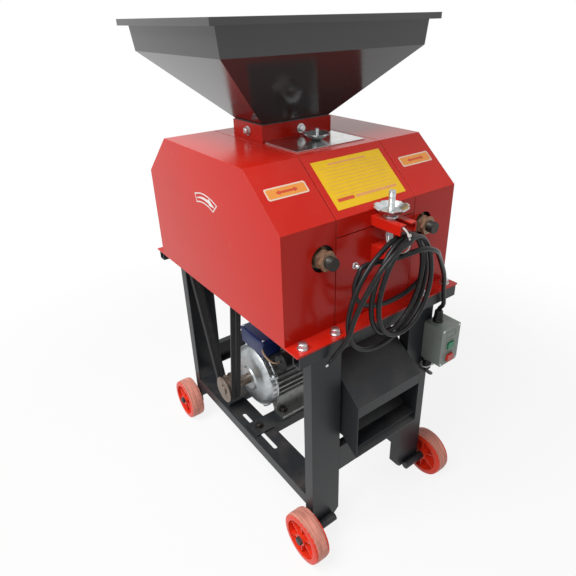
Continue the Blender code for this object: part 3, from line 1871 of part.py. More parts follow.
def coil_point(turns):
    """A point on the hanging loops: each turn starts at the tied top and goes round to the left."""
    angle = 2 * math.pi * turns
    drop = (1 - math.cos(angle)) / 2
    lean = between_turns(coil_leans, turns)
    half_width = between_turns(coil_half_widths, turns)
    height = between_turns(coil_heights, turns)
    egg = 1 - coil_egg_share * math.cos(angle)
    back = -top_rail_face - seat_gap - cord_radius
    return Vector(
        (
            coil_top_x + lean * drop - half_width * math.sin(angle) * egg,
            back - coil_pitch * coil_layer(turns),
            coil_top_z + coil_top_rise * turns - height * drop,
        )
    )


def coil_points():
    count = round((coil_turns_end - coil_turns_start) * coil_points_a_turn)
    step = (coil_turns_end - coil_turns_start) / count
    return [coil_point(coil_turns_start + step * index) for index in range(count + 1)]


def smooth_route(points, spacing):
    """Points about one spacing apart on a smooth curve through a route's own points."""
    ends = [points[0] * 2 - points[1], *points, points[-1] * 2 - points[-2]]
    smooth = [points[0]]
    for before, here, there, after in zip(ends, ends[1:], ends[2:], ends[3:]):
        count = max(1, round((there - here).length / spacing))
        for index in range(1, count + 1):
            smooth.append(route_point(before, here, there, after, index / count))
    return smooth


def route_point(before, here, there, after, share):
    square = share * share
    cube = square * share
    return (
        here * 2
        + (there - before) * share
        + (before * 2 - here * 5 + there * 4 - after) * square
        + (here * 3 - before - there * 3 + after) * cube
    ) / 2


def make_tube(name, points, radius, resolution):
    data = bpy.data.curves.new(name, "CURVE")
    data.dimensions = "3D"
    data.bevel_depth = radius
    data.bevel_resolution = resolution
    data.resolution_u = 1
    data.render_resolution_u = 0
    data.use_fill_caps = True
    spline = data.splines.new("POLY")
    spline.points.add(len(points) - 1)
    for point, place in zip(spline.points, points):
        point.co = (*place, 1)
    data.materials.append(materials["cord_rubber"])
    tube = bpy.data.objects.new(name, data)
    parts.objects.link(tube)
    return tube


def straight_end(point, direction, radius):
    """Two points that lead straight away from a face."""
    return [point + direction * seat_gap, point + direction * 2 * radius]


def least_gap(points, radius, skip):
    """The least gap between parts of one tube that are not neighbours along it."""
    least = None
    for first in range(len(points) - 1):
        for second in range(first + skip, len(points) - 1):
            distance = segment_distance(points[first : first + 2], points[second : second + 2])
            if least is None or distance < least:
                least = distance
    return least - 2 * radius


def segment_distance(first, second):
    """The least distance between two straight pieces, from points along the first."""
    steps = 4
    best = None
    line = second[1] - second[0]
    for index in range(steps + 1):
        point = first[0].lerp(first[1], index / steps)
        share = (point - second[0]).dot(line) / line.length_squared
        foot = second[0] + line * min(max(share, 0.0), 1.0)
        distance = (point - foot).length
        if best is None or distance < best:
            best = distance
    return best


def make_cords():
    """The coil of loops, the run to the switch box, the loose tail and the motor cable."""
    spacing = 2 * cord_radius * route_spacing_share
    coil = coil_points()
    make_tube("cord_coil", coil, cord_radius, 1)
    start_run = (coil[1] - coil[0]).normalized()
    end_run = (coil[-1] - coil[-2]).normalized()
    box_top = box_bottom + box_height + gland_height
    upper = straight_end(Vector((gland_x, gland_y, box_top)), Vector((0, 0, 1)), cord_radius)
    join_start = straight_end(coil[0], -start_run, cord_radius)
    lead = upper[:1] + [Vector(point) for point in lead_route] + join_start[::-1]
    lead = smooth_route(lead, spacing)
    make_tube("cord_lead", lead, cord_radius, 2)
    tail = straight_end(coil[-1], end_run, cord_radius) + [Vector(point) for point in tail_route]
    tail = smooth_route(tail, spacing)
    make_tube("cord_tail", tail, cord_radius, 2)
    make_cord_end(tail)
    gap = least_gap(coil, cord_radius, coil_points_a_turn // 3)
    print(f"Least gap of the coil to itself: {gap / mm:.2f} mm")
    lower = Vector((lower_gland_x, lower_gland_y, box_bottom - gland_height))
    entry = Vector((terminal_box_right, cable_entry_y, cable_entry_z))
    cable = straight_end(lower, Vector((0, 0, -1)), cable_radius)[:1]
    cable += [Vector(point) for point in cable_route]
    cable += straight_end(entry, Vector((1, 0, 0)), cable_radius)[::-1]
    cable = smooth_route(cable, 2 * cable_radius * route_spacing_share)
    make_tube("motor_cable", cable, cable_radius, 2)
    return lead, tail, cable


def make_cord_end(tail):
    """The bare end of the cord: a stepped pin that carries on from the tail."""
    run = (tail[-1] - tail[-2]).normalized()
    start = tail[-1] + run * seat_gap
    length = cord_end_length
    profile = [
        (0, length),
        (cord_end_radius * 0.7, length),
        (cord_end_radius, length * 0.85),
        (cord_end_radius, length * 0.6),
        (cord_end_collar, length * 0.55),
        (cord_end_collar, length * 0.3),
        (cord_radius, 0),
        (0, 0),
    ]
    end = turned("cord_end", profile, "Z", start, small_sides)
    turn = Vector((0, 0, 1)).rotation_difference(run).to_matrix().to_4x4()
    end.matrix_world = Matrix.Translation(start) @ turn
    return paint(end, "cord_rubber")


# The whole machine

sides = {"left": -1, "right": 1}
ends = {"front": -1, "rear": 1}

for end_name, end in ends.items():
    make_top_rail(f"{end_name}_top_rail", end)
    for side_name, side in sides.items():
        make_leg(f"{end_name}_{side_name}_leg", side, end)
        make_wheel(f"{end_name}_{side_name}_wheel", side, end)
make_cross_rail("front_cross_rail", -1, front_cross_bottom)
make_cross_rail("rear_cross_rail", 1, rear_cross_bottom)
make_front_motor_bar()
make_rear_motor_bar()
make_base_plate()

for side_name, side in sides.items():
    make_side_rail(f"{side_name}_bottom_rail", side)
    make_side_cover(f"{side_name}_cover", side)
    make_side_frame(f"{side_name}_side_frame", side)
    make_fixed_bearing(f"{side_name}_fixed_bearing", side)
    make_sliding_bearing(f"{side_name}_sliding_bearing", side)
    make_gap_nut(f"{side_name}_gap_nut", side)
make_centre_cover()
make_front_panel()

make_hopper()
make_collar()
make_slide_gate()
lobed_nut(
    "gate_star_nut",
    (gate_stud_x, gate_stud_y, gate_top + seat_gap),
    gate_nut_radius,
    gate_nut_height,
    gate_nut_hub,
    gate_stud_radius,
)
make_clamp_fork()
make_clamp_bolt()
make_handwheel()

make_roller("fixed_roller", fixed_roller_y, pulley_shaft_end)
make_roller("moving_roller", moving_roller_y, idle_shaft_end)
make_gear("fixed_roller_gear", fixed_roller_y)
make_gear("moving_roller_gear", moving_roller_y)
make_roller_pulley()
make_motor_pulley()
for belt_name, groove in zip(("outer_belt", "inner_belt"), reversed(groove_places())):
    make_belt(belt_name, groove)

make_motor_body()
make_motor_shield()
make_motor_shaft()
make_fan_cover()
make_terminal_box()
make_capacitor()
make_chute()

make_switch_base()
make_switch_cover()
make_button("start_button", start_button_z, start_button_proud, "green_plastic")
make_button("stop_button", stop_button_z, stop_button_proud, "red_plastic")
make_cords()
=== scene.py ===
# %% [markdown]
# # A grain mill on wheels
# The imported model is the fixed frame. This script gives it paint, metal, rubber and plastic, and
# adds the small pieces that the solids leave out: threads, screws, labels, ties and seams.

# %% Load the frame
import math

import bmesh
import bpy
from mathutils import Matrix, Vector


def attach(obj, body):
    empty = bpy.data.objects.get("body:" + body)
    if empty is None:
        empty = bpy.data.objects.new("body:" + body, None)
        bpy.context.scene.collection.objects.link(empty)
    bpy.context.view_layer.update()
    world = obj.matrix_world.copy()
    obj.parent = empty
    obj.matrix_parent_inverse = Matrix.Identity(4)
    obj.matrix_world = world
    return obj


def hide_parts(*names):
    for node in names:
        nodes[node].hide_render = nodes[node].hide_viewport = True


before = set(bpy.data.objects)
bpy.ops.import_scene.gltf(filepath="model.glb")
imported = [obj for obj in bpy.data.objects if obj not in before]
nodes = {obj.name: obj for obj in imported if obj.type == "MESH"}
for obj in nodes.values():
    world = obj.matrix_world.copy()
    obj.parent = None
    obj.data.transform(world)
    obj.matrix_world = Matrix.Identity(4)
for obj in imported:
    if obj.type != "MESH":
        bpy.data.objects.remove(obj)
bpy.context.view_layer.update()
mm = 0.001
scene = bpy.context.scene

# %% [markdown]
# ## Camera
# The photograph looks down on the mill from the front left. A camera's own axes are the columns of
# its matrix: right, up and back. Writing them out keeps the slight roll of a hand-held picture.

# %% Camera
camera_place = Vector((-684.7, -943.9, 1166.6)) * mm
camera_right = Vector((0.79727, -0.60330, -0.01966))
camera_up = Vector((0.28622, 0.34917, 0.89228))
camera_back = Vector((-0.53145, -0.71701, 0.45106))
sensor_width = 36.0
lens = 31.654
frame_shift = (-0.0208, -0.0302)


def place_camera():
    data = bpy.data.cameras.new("camera")
    data.sensor_width = sensor_width
    data.lens = lens
    data.shift_x, data.shift_y = frame_shift
    camera = bpy.data.objects.new("camera", data)
    scene.collection.objects.link(camera)
    turn = Matrix((camera_right, camera_up, camera_back)).transposed()
    camera.matrix_world = Matrix.Translation(camera_place) @ turn.to_4x4()
    scene.camera = camera
    return camera


camera = place_camera()
print("Camera at", [round(value, 3) for value in camera.location])

# %% [markdown]
# ## Cords
# The mains cord leaves the top gland of the switch box, climbs to the fork, hangs there in four
# loops and ends in a short loose tail. One open curve carries the whole length, because a real cord
# is one piece. The loops follow a rule, so a formula gives their points. The two runs follow listed
# points, with a smooth curve through them.

# %% The loops' rule
cord_radius = 5.25 * mm
cable_radius = 4.5 * mm
seat_gap = 0.3 * mm
coil_turns = (0.2, 4.0)
points_a_turn = 48
coil_pitch = 12.2 * mm
layer_step_share = 0.12
coil_top = Vector((12.0, -328.55, 777.0)) * mm
coil_rise = 3.0 * mm
egg_share = 0.1
coil_leans = (-8.0, -50.0, -34.0, -15.0)
coil_half_widths = (108.0, 110.0, 63.0, 73.0)
coil_heights = (143.0, 234.0, 200.0, 209.0)


def between_turns(values, turns):
    """A smooth value between the turns' own values, which hold at the bottom of each turn."""
    place = min(max(turns - 0.5, 0.0), len(values) - 1.0)
    index = min(int(place), len(values) - 2)
    ease = (1 - math.cos(math.pi * (place - index))) / 2
    return (values[index] + (values[index + 1] - values[index]) * ease) * mm


def coil_layer(turns):
    nearest = round(turns)
    share = min(max((turns - nearest) / (2 * layer_step_share) + 0.5, 0.0), 1.0)
    return nearest - 1 + share * share * (3 - 2 * share)


def coil_point(turns):
    angle = 2 * math.pi * turns
    drop = (1 - math.cos(angle)) / 2
    half_width = between_turns(coil_half_widths, turns)
    across = between_turns(coil_leans, turns) * drop
    across -= half_width * math.sin(angle) * (1 - egg_share * math.cos(angle))
    down = between_turns(coil_heights, turns) * drop
    return coil_top + Vector((across, -coil_pitch * coil_layer(turns), coil_rise * turns - down))


coil_count = round((coil_turns[1] - coil_turns[0]) * points_a_turn)
coil_step = (coil_turns[1] - coil_turns[0]) / coil_count
coil = [coil_point(coil_turns[0] + coil_step * index) for index in range(coil_count + 1)]
print("Points in the loops:", len(coil))

# %% Smooth routes
route_spacing = 12.0 * mm


def route_point(before, here, there, after, share):
    square = share * share
    cube = square * share
    return (
        here * 2
        + (there - before) * share
        + (before * 2 - here * 5 + there * 4 - after) * square
        + (here * 3 - before - there * 3 + after) * cube
    ) / 2


def smooth_route(points):
    ends = [points[0] * 2 - points[1], *points, points[-1] * 2 - points[-2]]
    smooth = [points[0]]
    for before, here, there, after in zip(ends, ends[1:], ends[2:], ends[3:]):
        count = max(2, round((there - here).length / route_spacing))
        for index in range(1, count + 1):
            smooth.append(route_point(before, here, there, after, index / count))
    return smooth


def straight_end(point, direction, radius):
    return [point + direction * seat_gap, point + direction * 2 * radius]


def millimetres(*places):
    return [Vector(place) * mm for place in places]


lead_route = millimetres(
    (184.5, -318.5, 543), (183.5, -324.5, 552), (180.5, -331, 565), (172, -333, 601),
    (157, -340, 648), (130, -350, 688), (100, -363, 722), (76, -376, 742), (52, -380.5, 756),
    (28, -381, 764), (6, -377, 763), (-12, -363, 754), (-28, -347, 745), (-50, -333, 741),
    (-72, -329, 741),
)
tail_route = millimetres(
    (-14, -378, 787), (-50, -380.5, 778), (-82, -377, 751), (-104, -370, 714), (-118, -363, 680),
    (-127, -357, 650), (-132, -353, 622), (-139, -346, 598), (-147, -339, 581), (-156, -334, 567),
)
cable_route = millimetres(
    (168, -313, 372), (177, -314, 358), (189, -313, 348), (196, -304, 342), (198, -288, 339),
    (192, -268, 338), (172, -250, 340), (140, -228, 345), (100, -190, 352), (60, -130, 360),
    (30, -60, 367), (8, 0, 371), (-8, 34, 372), (-24, 52, 372),
)
print("Route points:", len(lead_route), len(tail_route), len(cable_route))

# %% [markdown]
# A cord is a curve with a round bevel: its own line stays the centreline, so its length can be
# measured, and the bevel gives it a thickness without any modelling.

# %% Lay the cords
cord_sides = 6
upper_gland = Vector((184.5, -318.3, 532.0)) * mm
lower_gland = Vector((168.0, -313.3, 383.0)) * mm
cable_entry = Vector((-50.0, 58.0, 372.0)) * mm


def lay_cord(name, points, radius):
    data = bpy.data.curves.new(name, "CURVE")
    data.dimensions = "3D"
    data.bevel_depth = radius
    data.bevel_resolution = cord_sides
    data.resolution_u = 1
    data.use_fill_caps = True
    spline = data.splines.new("POLY")
    spline.points.add(len(points) - 1)
    for point, place in zip(spline.points, points):
        point.co = (*place, 1)
    cord = bpy.data.objects.new(name, data)
    scene.collection.objects.link(cord)
    return cord


def length_of(points):
    return sum((there - here).length for here, there in zip(points, points[1:]))


def mains_points():
    start_run = (coil[1] - coil[0]).normalized()
    end_run = (coil[-1] - coil[-2]).normalized()
    upper = straight_end(upper_gland, Vector((0, 0, 1)), cord_radius)[:1]
    join = straight_end(coil[0], -start_run, cord_radius)[::-1]
    lead = smooth_route(upper + lead_route + join)
    tail = smooth_route(straight_end(coil[-1], end_run, cord_radius) + tail_route)
    return lead + coil[1:] + tail[1:]


mains = mains_points()
mains_cord = lay_cord("mains_cord", mains, cord_radius)
cable = straight_end(lower_gland, Vector((0, 0, -1)), cable_radius)[:1] + cable_route
cable = smooth_route(cable + straight_end(cable_entry, Vector((1, 0, 0)), cable_radius)[::-1])
motor_cable = lay_cord("motor_lead", cable, cable_radius)
mains_length = length_of(mains)
cable_length = length_of(cable)
print("Mains cord:", round(mains_length, 3), "m; motor cable:", round(cable_length, 3), "m")

# %% [markdown]
# ## Wiring node trees
# Materials and Geometry Nodes are both trees of nodes. One method makes any node: first its
# settings, then the values or links of its sockets. A small class wraps an output and takes part
# in sums, so that `mask * 0.2 + 1` adds the Math nodes by itself.

# %% Trees and sums
class Wire:
    """One output of a node, which takes part in sums."""

    def __init__(self, owner, socket):
        self.owner = owner
        self.socket = socket

    def math(self, operation, *values):
        return self.owner.node("ShaderNodeMath", {"operation": operation}, dict(enumerate(values)))

    def __add__(self, other):
        return self.math("ADD", self, other)

    def __sub__(self, other):
        return self.math("SUBTRACT", self, other)

    def __rsub__(self, other):
        return self.math("SUBTRACT", other, self)

    def __mul__(self, other):
        return self.math("MULTIPLY", self, other)

    def __truediv__(self, other):
        return self.math("DIVIDE", self, other)

    __radd__ = __add__
    __rmul__ = __mul__


class Tree:
    """A node tree that is built call by call."""

    def __init__(self, tree):
        self.tree = tree

    def node(self, kind, settings=None, inputs=None, output=0):
        made = self.tree.nodes.new(kind)
        for key, value in (settings or {}).items():
            setattr(made, key, value)
        for key, value in (inputs or {}).items():
            self.feed(made.inputs[key], value)
        return Wire(self, made.outputs[output]) if made.outputs else made

    def feed(self, socket, value):
        if isinstance(value, Wire):
            self.tree.links.new(value.socket, socket)
        else:
            socket.default_value = value


print("Trees are ready")

# %% [markdown]
# ## Materials
# Every finish starts from the same shader and then gets clouds of slightly different colour, a
# roughness that isn't the same everywhere, a fine grain from a bump and lighter edges, which are
# wear and on painted steel also a painted highlight. The Bevel node looks for edges nearby: where
# its normal leaves the surface's own, there is an edge.
# The same normal rounds the edge in the light, as folded sheet steel is never sharp.

# %% A finish
edge_samples = 6
edge_faint, edge_full = 0.02, 0.16


class Finish(Tree):
    """One material on the shader that Blender gives it."""

    def __init__(self, name, roughness=0.5, metallic=0.0, specular=0.5):
        self.material = bpy.data.materials.new(name)
        self.material.use_nodes = True
        super().__init__(self.material.node_tree)
        self.shader = self.tree.nodes["Principled BSDF"]
        self.shader.inputs["Roughness"].default_value = roughness
        self.shader.inputs["Metallic"].default_value = metallic
        self.shader.inputs["Specular IOR Level"].default_value = specular
        self.rounded = None

    def give(self, name, value):
        self.feed(self.shader.inputs[name], value)

    def place(self, scale=(1, 1, 1)):
        place = self.node("ShaderNodeTexCoord", output="Object")
        return self.node("ShaderNodeMapping", {}, {"Vector": place, "Scale": scale})

    def along(self, axis):
        return self.node("ShaderNodeSeparateXYZ", {}, {0: self.place()}, axis)

    def noise(self, scale, detail=3.0, stretch=(1, 1, 1), blend=0.55):
        inputs = {"Vector": self.place(stretch), "Scale": scale, "Detail": detail}
        inputs["Roughness"] = blend
        return self.node("ShaderNodeTexNoise", {}, inputs)

    def cells(self, scale):
        settings = {"feature": "F1"}
        inputs = {"Vector": self.place(), "Scale": scale}
        return self.node("ShaderNodeTexVoronoi", settings, inputs, "Color")

    def rise(self, value, low, high):
        """0 below low, 1 above high and smooth between them."""
        inputs = {"Value": value, "From Min": low, "From Max": high}
        return self.node("ShaderNodeMapRange", {"interpolation_type": "SMOOTHSTEP"}, inputs)

    def mix(self, share, first, second):
        inputs = {0: share, 6: opaque(first), 7: opaque(second)}
        return self.node("ShaderNodeMix", {"data_type": "RGBA"}, inputs, 2)

    def upward(self):
        normal = self.node("ShaderNodeNewGeometry", output="Normal")
        return self.node("ShaderNodeSeparateXYZ", {}, {0: normal}, 2)

    def edges(self, radius):
        """1 on an edge and 0 away from it; the rounded normal is kept for the bump."""
        self.rounded = self.node("ShaderNodeBevel", {"samples": edge_samples}, {"Radius": radius})
        flat = self.node("ShaderNodeNewGeometry", output="True Normal")
        settings = {"operation": "DOT_PRODUCT"}
        match = self.node("ShaderNodeVectorMath", settings, {0: self.rounded, 1: flat}, 1)
        return self.rise(1.0 - match, edge_faint, edge_full)

    def bump(self, height, depth):
        inputs = {"Height": height, "Distance": depth, "Strength": 1.0}
        if self.rounded:
            inputs["Normal"] = self.rounded
        self.give("Normal", self.node("ShaderNodeBump", {}, inputs))


def opaque(colour):
    return colour if isinstance(colour, Wire) else (*colour, 1.0)


def shade(colour, share):
    return tuple(value * share for value in colour)


finishes = {}
print("Finish recipes are ready")

# %% [markdown]
# ## Painted steel
# The housing wears a gloss red coat, the stand a satin dark grey one and the hopper a very glossy
# near-black one that mirrors the red below it. All three are one recipe with other numbers: orange
# peel, a little meal dust on what faces up, fine rubs, and folds painted lighter, partly as thinned
# paint and partly as a painted highlight.

# %% Paint recipe
meal_dust = (0.42, 0.36, 0.29)
paint_fold = 1.1 * mm


def painted_steel(name, colour, roughness, specular, dust_share, thinned_and_highlight_colour, thinned_and_highlight_share, peel):
    paint = Finish(name, roughness, specular=specular)
    clouds = paint.noise(5.0, 3.0)
    fine = paint.noise(60.0, 4.0)
    rubs = paint.rise(paint.noise(26.0, 5.0, (1.0, 1.0, 9.0), 0.7), 0.66, 0.74)
    edge = paint.edges(paint_fold)
    # The folds are painted lighter: partly thinned paint, partly a painted highlight on the folded
    # edge.
    thinned_and_highlight = edge * paint.rise(fine, 0.35, 0.75) * thinned_and_highlight_share
    up = paint.rise(paint.upward(), 0.45, 0.98)
    dust = up * paint.rise(paint.noise(14.0, 5.0), 0.4, 0.85) * dust_share
    base = paint.mix(clouds, shade(colour, 0.90), shade(colour, 1.10))
    base = paint.mix(rubs * 0.10, base, shade(meal_dust, 0.8))
    base = paint.mix(thinned_and_highlight, base, thinned_and_highlight_colour)
    base = paint.mix(dust, base, meal_dust)
    paint.give("Base Color", base)
    worn = rubs * 0.12 + dust * 0.6 + thinned_and_highlight * 0.2
    paint.give("Roughness", fine * 0.07 + worn + (roughness - 0.04))
    paint.bump(paint.noise(420.0, 2.0) + paint.noise(90.0, 2.0) * 0.6, peel)
    return paint


red = (0.56, 0.014, 0.006)
charcoal = (0.022, 0.024, 0.027)
hopper_grey = (0.040, 0.040, 0.041)
paints = {
    # The fifth value is the lighter fold colour: thinned paint and a painted highlight.
    "red_paint": (red, 0.22, 0.20, 0.05, (0.80, 0.16, 0.11), 0.7, 0.018 * mm),
    "frame_paint": (charcoal, 0.40, 0.32, 0.12, (0.09, 0.09, 0.10), 0.8, 0.05 * mm),
    "hopper_paint": (hopper_grey, 0.13, 0.60, 0.06, (0.16, 0.16, 0.17), 0.5, 0.006 * mm),
}
for paint_name, recipe in paints.items():
    finishes[paint_name] = painted_steel(paint_name, *recipe)
print("Paints:", sorted(finishes))

# %% [markdown]
# ## Bare metal
# Sheet, castings, turned and plated parts differ in tint, roughness and marks. Plating shows soft
# cells of brighter and duller zinc, a casting shows a coarse skin, a brushed sheet shows long fine
# lines. Oil and rust darken the low spots.

# %% Metal recipe
even = (1.0, 1.0, 1.0)


def bare_metal(
    name, colour, roughness, stain, stain_share, grain, depth, stretch=even, metallic=1.0
):
    metal = Finish(name, roughness, metallic)
    clouds = metal.noise(18.0, 4.0)
    marks = metal.noise(grain, 3.0, stretch)
    cells = metal.node("ShaderNodeSeparateColor", {}, {0: metal.cells(140.0)}, 0)
    edge = metal.edges(0.5 * mm)
    base = metal.mix(cells * 0.5 + clouds * 0.5, shade(colour, 0.84), shade(colour, 1.12))
    dirt = metal.rise(metal.noise(48.0, 5.0), 0.48, 0.72) * stain_share
    base = metal.mix(dirt, base, stain)
    base = metal.mix(edge * 0.35, base, shade(colour, 1.35))
    metal.give("Base Color", base)
    metal.give("Roughness", marks * 0.16 + dirt * 0.25 + (roughness - 0.08))
    metal.bump(marks, depth)
    return metal


grime = (0.05, 0.042, 0.035)
rust = (0.16, 0.075, 0.035)
metals = {
    "stainless": ((0.60, 0.60, 0.59), 0.17, grime, 0.10, 900.0, 0.004 * mm, (0.02, 1.0, 1.0)),
    "zinc": ((0.62, 0.65, 0.66), 0.36, grime, 0.20, 260.0, 0.02 * mm),
    "roller_steel": ((0.42, 0.42, 0.43), 0.34, grime, 0.25, 500.0, 0.02 * mm, (0.05, 1.0, 1.0)),
    "cast_iron": ((0.10, 0.10, 0.105), 0.58, grime, 0.55, 300.0, 0.10 * mm),
    "bright_steel": ((0.25, 0.205, 0.17), 0.45, rust, 0.45, 420.0, 0.03 * mm),
    "nut_steel": ((0.33, 0.21, 0.135), 0.40, rust, 0.40, 300.0, 0.03 * mm, even, 0.5),
    "shield_alloy": ((0.52, 0.55, 0.56), 0.40, (0.20, 0.20, 0.20), 0.30, 340.0, 0.06 * mm),
    "motor_alloy": ((0.30, 0.31, 0.30), 0.44, grime, 0.35, 300.0, 0.08 * mm),
    "dark_thread": ((0.060, 0.056, 0.052), 0.44, grime, 0.40, 300.0, 0.03 * mm),
}
for metal_name, recipe in metals.items():
    finishes[metal_name] = bare_metal(metal_name, *recipe)
print("Metals:", sorted(metals))

# %% [markdown]
# ## Moulded plastic and rubber
# Moulded pieces have an even colour with a faint flow, a spark-eroded grain and a soft sheen.
# Rubber is duller and holds dust. The wheels are two materials in one moulding: an orange-red core
# and a hazy pink tread, told apart by the distance from the axle.

# %% Plastic recipe
def moulded(name, colour, roughness, grain, depth, dust_share, specular=0.5):
    plastic = Finish(name, roughness, specular=specular)
    flow = plastic.noise(30.0, 3.0)
    skin = plastic.noise(grain, 2.0)
    edge = plastic.edges(0.7 * mm)
    base = plastic.mix(flow, shade(colour, 0.86), shade(colour, 1.12))
    base = plastic.mix(edge * 0.25, base, shade(colour, 1.5))
    dust = plastic.rise(plastic.noise(70.0, 5.0), 0.5, 0.8) * dust_share
    base = plastic.mix(dust, base, meal_dust)
    plastic.give("Base Color", base)
    plastic.give("Roughness", flow * 0.08 + skin * 0.06 + dust * 0.5 + (roughness - 0.07))
    plastic.bump(skin, depth)
    return plastic


plastics = {
    "belt_rubber": ((0.011, 0.011, 0.012), 0.62, 900.0, 0.05 * mm, 0.05),
    "blue_plastic": ((0.010, 0.026, 0.13), 0.30, 500.0, 0.02 * mm, 0.05),
    "black_plastic": ((0.012, 0.012, 0.013), 0.34, 700.0, 0.02 * mm, 0.04, 0.35),
    "box_plastic": ((0.235, 0.265, 0.240), 0.42, 800.0, 0.02 * mm, 0.03),
    "green_plastic": ((0.0, 0.22, 0.085), 0.26, 500.0, 0.01 * mm, 0.0),
    "red_plastic": ((0.62, 0.040, 0.022), 0.26, 500.0, 0.01 * mm, 0.0),
    "cord_rubber": ((0.010, 0.010, 0.011), 0.32, 800.0, 0.02 * mm, 0.03, 0.25),
    "tie_nylon": ((0.62, 0.62, 0.60), 0.38, 400.0, 0.01 * mm, 0.05),
    "beige_sleeve": ((0.52, 0.36, 0.24), 0.45, 500.0, 0.02 * mm, 0.10),
}
for plastic_name, recipe in plastics.items():
    finishes[plastic_name] = moulded(plastic_name, *recipe)
print("Plastics:", sorted(plastics))

# %% Wheel
wheel_core = (0.80, 0.045, 0.016)
wheel_tread = (0.68, 0.27, 0.205)
wheel_radius = 62.5 * mm
axle_reach = 311.0 * mm
tread_foot, tread_full = 60.5 * mm, 61.0 * mm


def wheel_plastic():
    wheel = moulded("wheel_plastic", wheel_core, 0.36, 500.0, 0.02 * mm, 0.03, 0.25)
    forward = wheel.along(1)
    across = forward.math("ABSOLUTE", forward) - axle_reach
    height = wheel.along(2) - wheel_radius
    square = across * across + height * height
    is_tread = wheel.rise(square.math("SQRT", square), tread_foot, tread_full)
    streak = wheel.rise(wheel.noise(16.0, 5.0, (14.0, 1.0, 1.0)), 0.35, 0.7)
    tread = wheel.mix(streak, shade(wheel_tread, 0.72), shade(wheel_tread, 1.25))
    core = wheel.shader.inputs["Base Color"].links[0].from_socket
    wheel.give("Base Color", wheel.mix(is_tread, Wire(wheel, core), tread))
    wheel.give("Roughness", is_tread * 0.16 + wheel.noise(90.0) * 0.08 + 0.28)
    return wheel


finishes["wheel_plastic"] = wheel_plastic()
print("Wheel centres at y", round(axle_reach, 4))

# %% [markdown]
# ## Labels and marks
# The labels are printed film. They are left without words: a yellow sheet with ruled lines, two
# orange strips with an arrow, and a white turning arrow. Film is glossier than the paint and has a
# faint ripple.

# %% Film recipe
film_roughness = 0.30


def film(name, colour):
    made = Finish(name, film_roughness, specular=0.3)
    ripple = made.noise(40.0, 3.0)
    made.give("Base Color", made.mix(ripple, shade(colour, 0.90), shade(colour, 1.08)))
    made.give("Roughness", made.noise(200.0) * 0.10 + (film_roughness - 0.05))
    made.bump(ripple, 0.03 * mm)
    return made


films = {
    "yellow_film": (0.83, 0.51, 0.010),
    "orange_film": (0.80, 0.30, 0.055),
    "pale_film": (0.75, 0.60, 0.48),
    "rose_ink": (0.74, 0.34, 0.12),
    "dark_rose_ink": (0.62, 0.075, 0.030),
    "white_ink": (0.72, 0.70, 0.68),
}
for film_name, colour in films.items():
    finishes[film_name] = film(film_name, colour)
print("Films:", sorted(films))

# %% Dress the solids
for name, part in nodes.items():
    for slot in part.material_slots:
        slot.material = finishes[slot.material.name].material
print("Dressed", len(nodes), "nodes")

# %% [markdown]
# ## Making pieces
# A mesh made by hand goes through one function: it merges doubles, turns the faces outwards, gives
# the finish and says which body the piece moves with.

# %% Pieces
def add_piece(name, shape, finish, body="frame", smooth=True):
    bmesh.ops.remove_doubles(shape, verts=shape.verts, dist=0.00001)
    bmesh.ops.recalc_face_normals(shape, faces=shape.faces)
    mesh = bpy.data.meshes.new(name)
    shape.to_mesh(mesh)
    shape.free()
    return add_mesh(name, mesh, finish, body, smooth)


def add_mesh(name, mesh, finish, body, smooth=True):
    mesh.materials.clear()
    mesh.materials.append(finishes[finish].material)
    piece = bpy.data.objects.new(name, mesh)
    scene.collection.objects.link(piece)
    if smooth:
        mesh.shade_smooth()
        mesh.set_sharp_from_angle(angle=math.radians(35.0))
    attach(piece, body)
    return piece


def turned(profile, steps):
    """A closed turned shape about Z from (radius, height) points that start and end on the axis."""
    shape = bmesh.new()
    verts = [shape.verts.new((radius, 0, height)) for radius, height in profile]
    edges = [shape.edges.new(pair) for pair in zip(verts, verts[1:])]
    bmesh.ops.spin(
        shape, geom=verts + edges, axis=(0, 0, 1), cent=(0, 0, 0), steps=steps, angle=2 * math.pi
    )
    bmesh.ops.remove_doubles(shape, verts=shape.verts, dist=0.000001)
    bmesh.ops.dissolve_degenerate(shape, edges=shape.edges, dist=0.000001)
    return shape


def aim(place, direction):
    """The move that carries Z at the origin to a place and a direction."""
    turn = Vector((0, 0, 1)).rotation_difference(Vector(direction)).to_matrix().to_4x4()
    return Matrix.Translation(place) @ turn


def slab(outline, thickness):
    """A flat outline in XY with its back at z = 0."""
    shape = bmesh.new()
    verts = [shape.verts.new((x, y, 0)) for x, y in outline]
    face = shape.faces.new(verts)
    grown = bmesh.ops.extrude_face_region(shape, geom=[face])
    tops = [item for item in grown["geom"] if isinstance(item, bmesh.types.BMVert)]
    bmesh.ops.translate(shape, vec=(0, 0, thickness), verts=tops)
    bmesh.ops.triangulate(shape, faces=[f for f in shape.faces if len(f.verts) > 4])
    return shape


def moved(shape, matrix):
    bmesh.ops.transform(shape, matrix=matrix, verts=shape.verts)
    return shape


def bevelled(piece, width, segments=2):
    bevel = piece.modifiers.new("round", "BEVEL")
    bevel.width = width
    bevel.segments = segments
    bevel.limit_method = "ANGLE"
    return piece


print("Piece makers are ready")
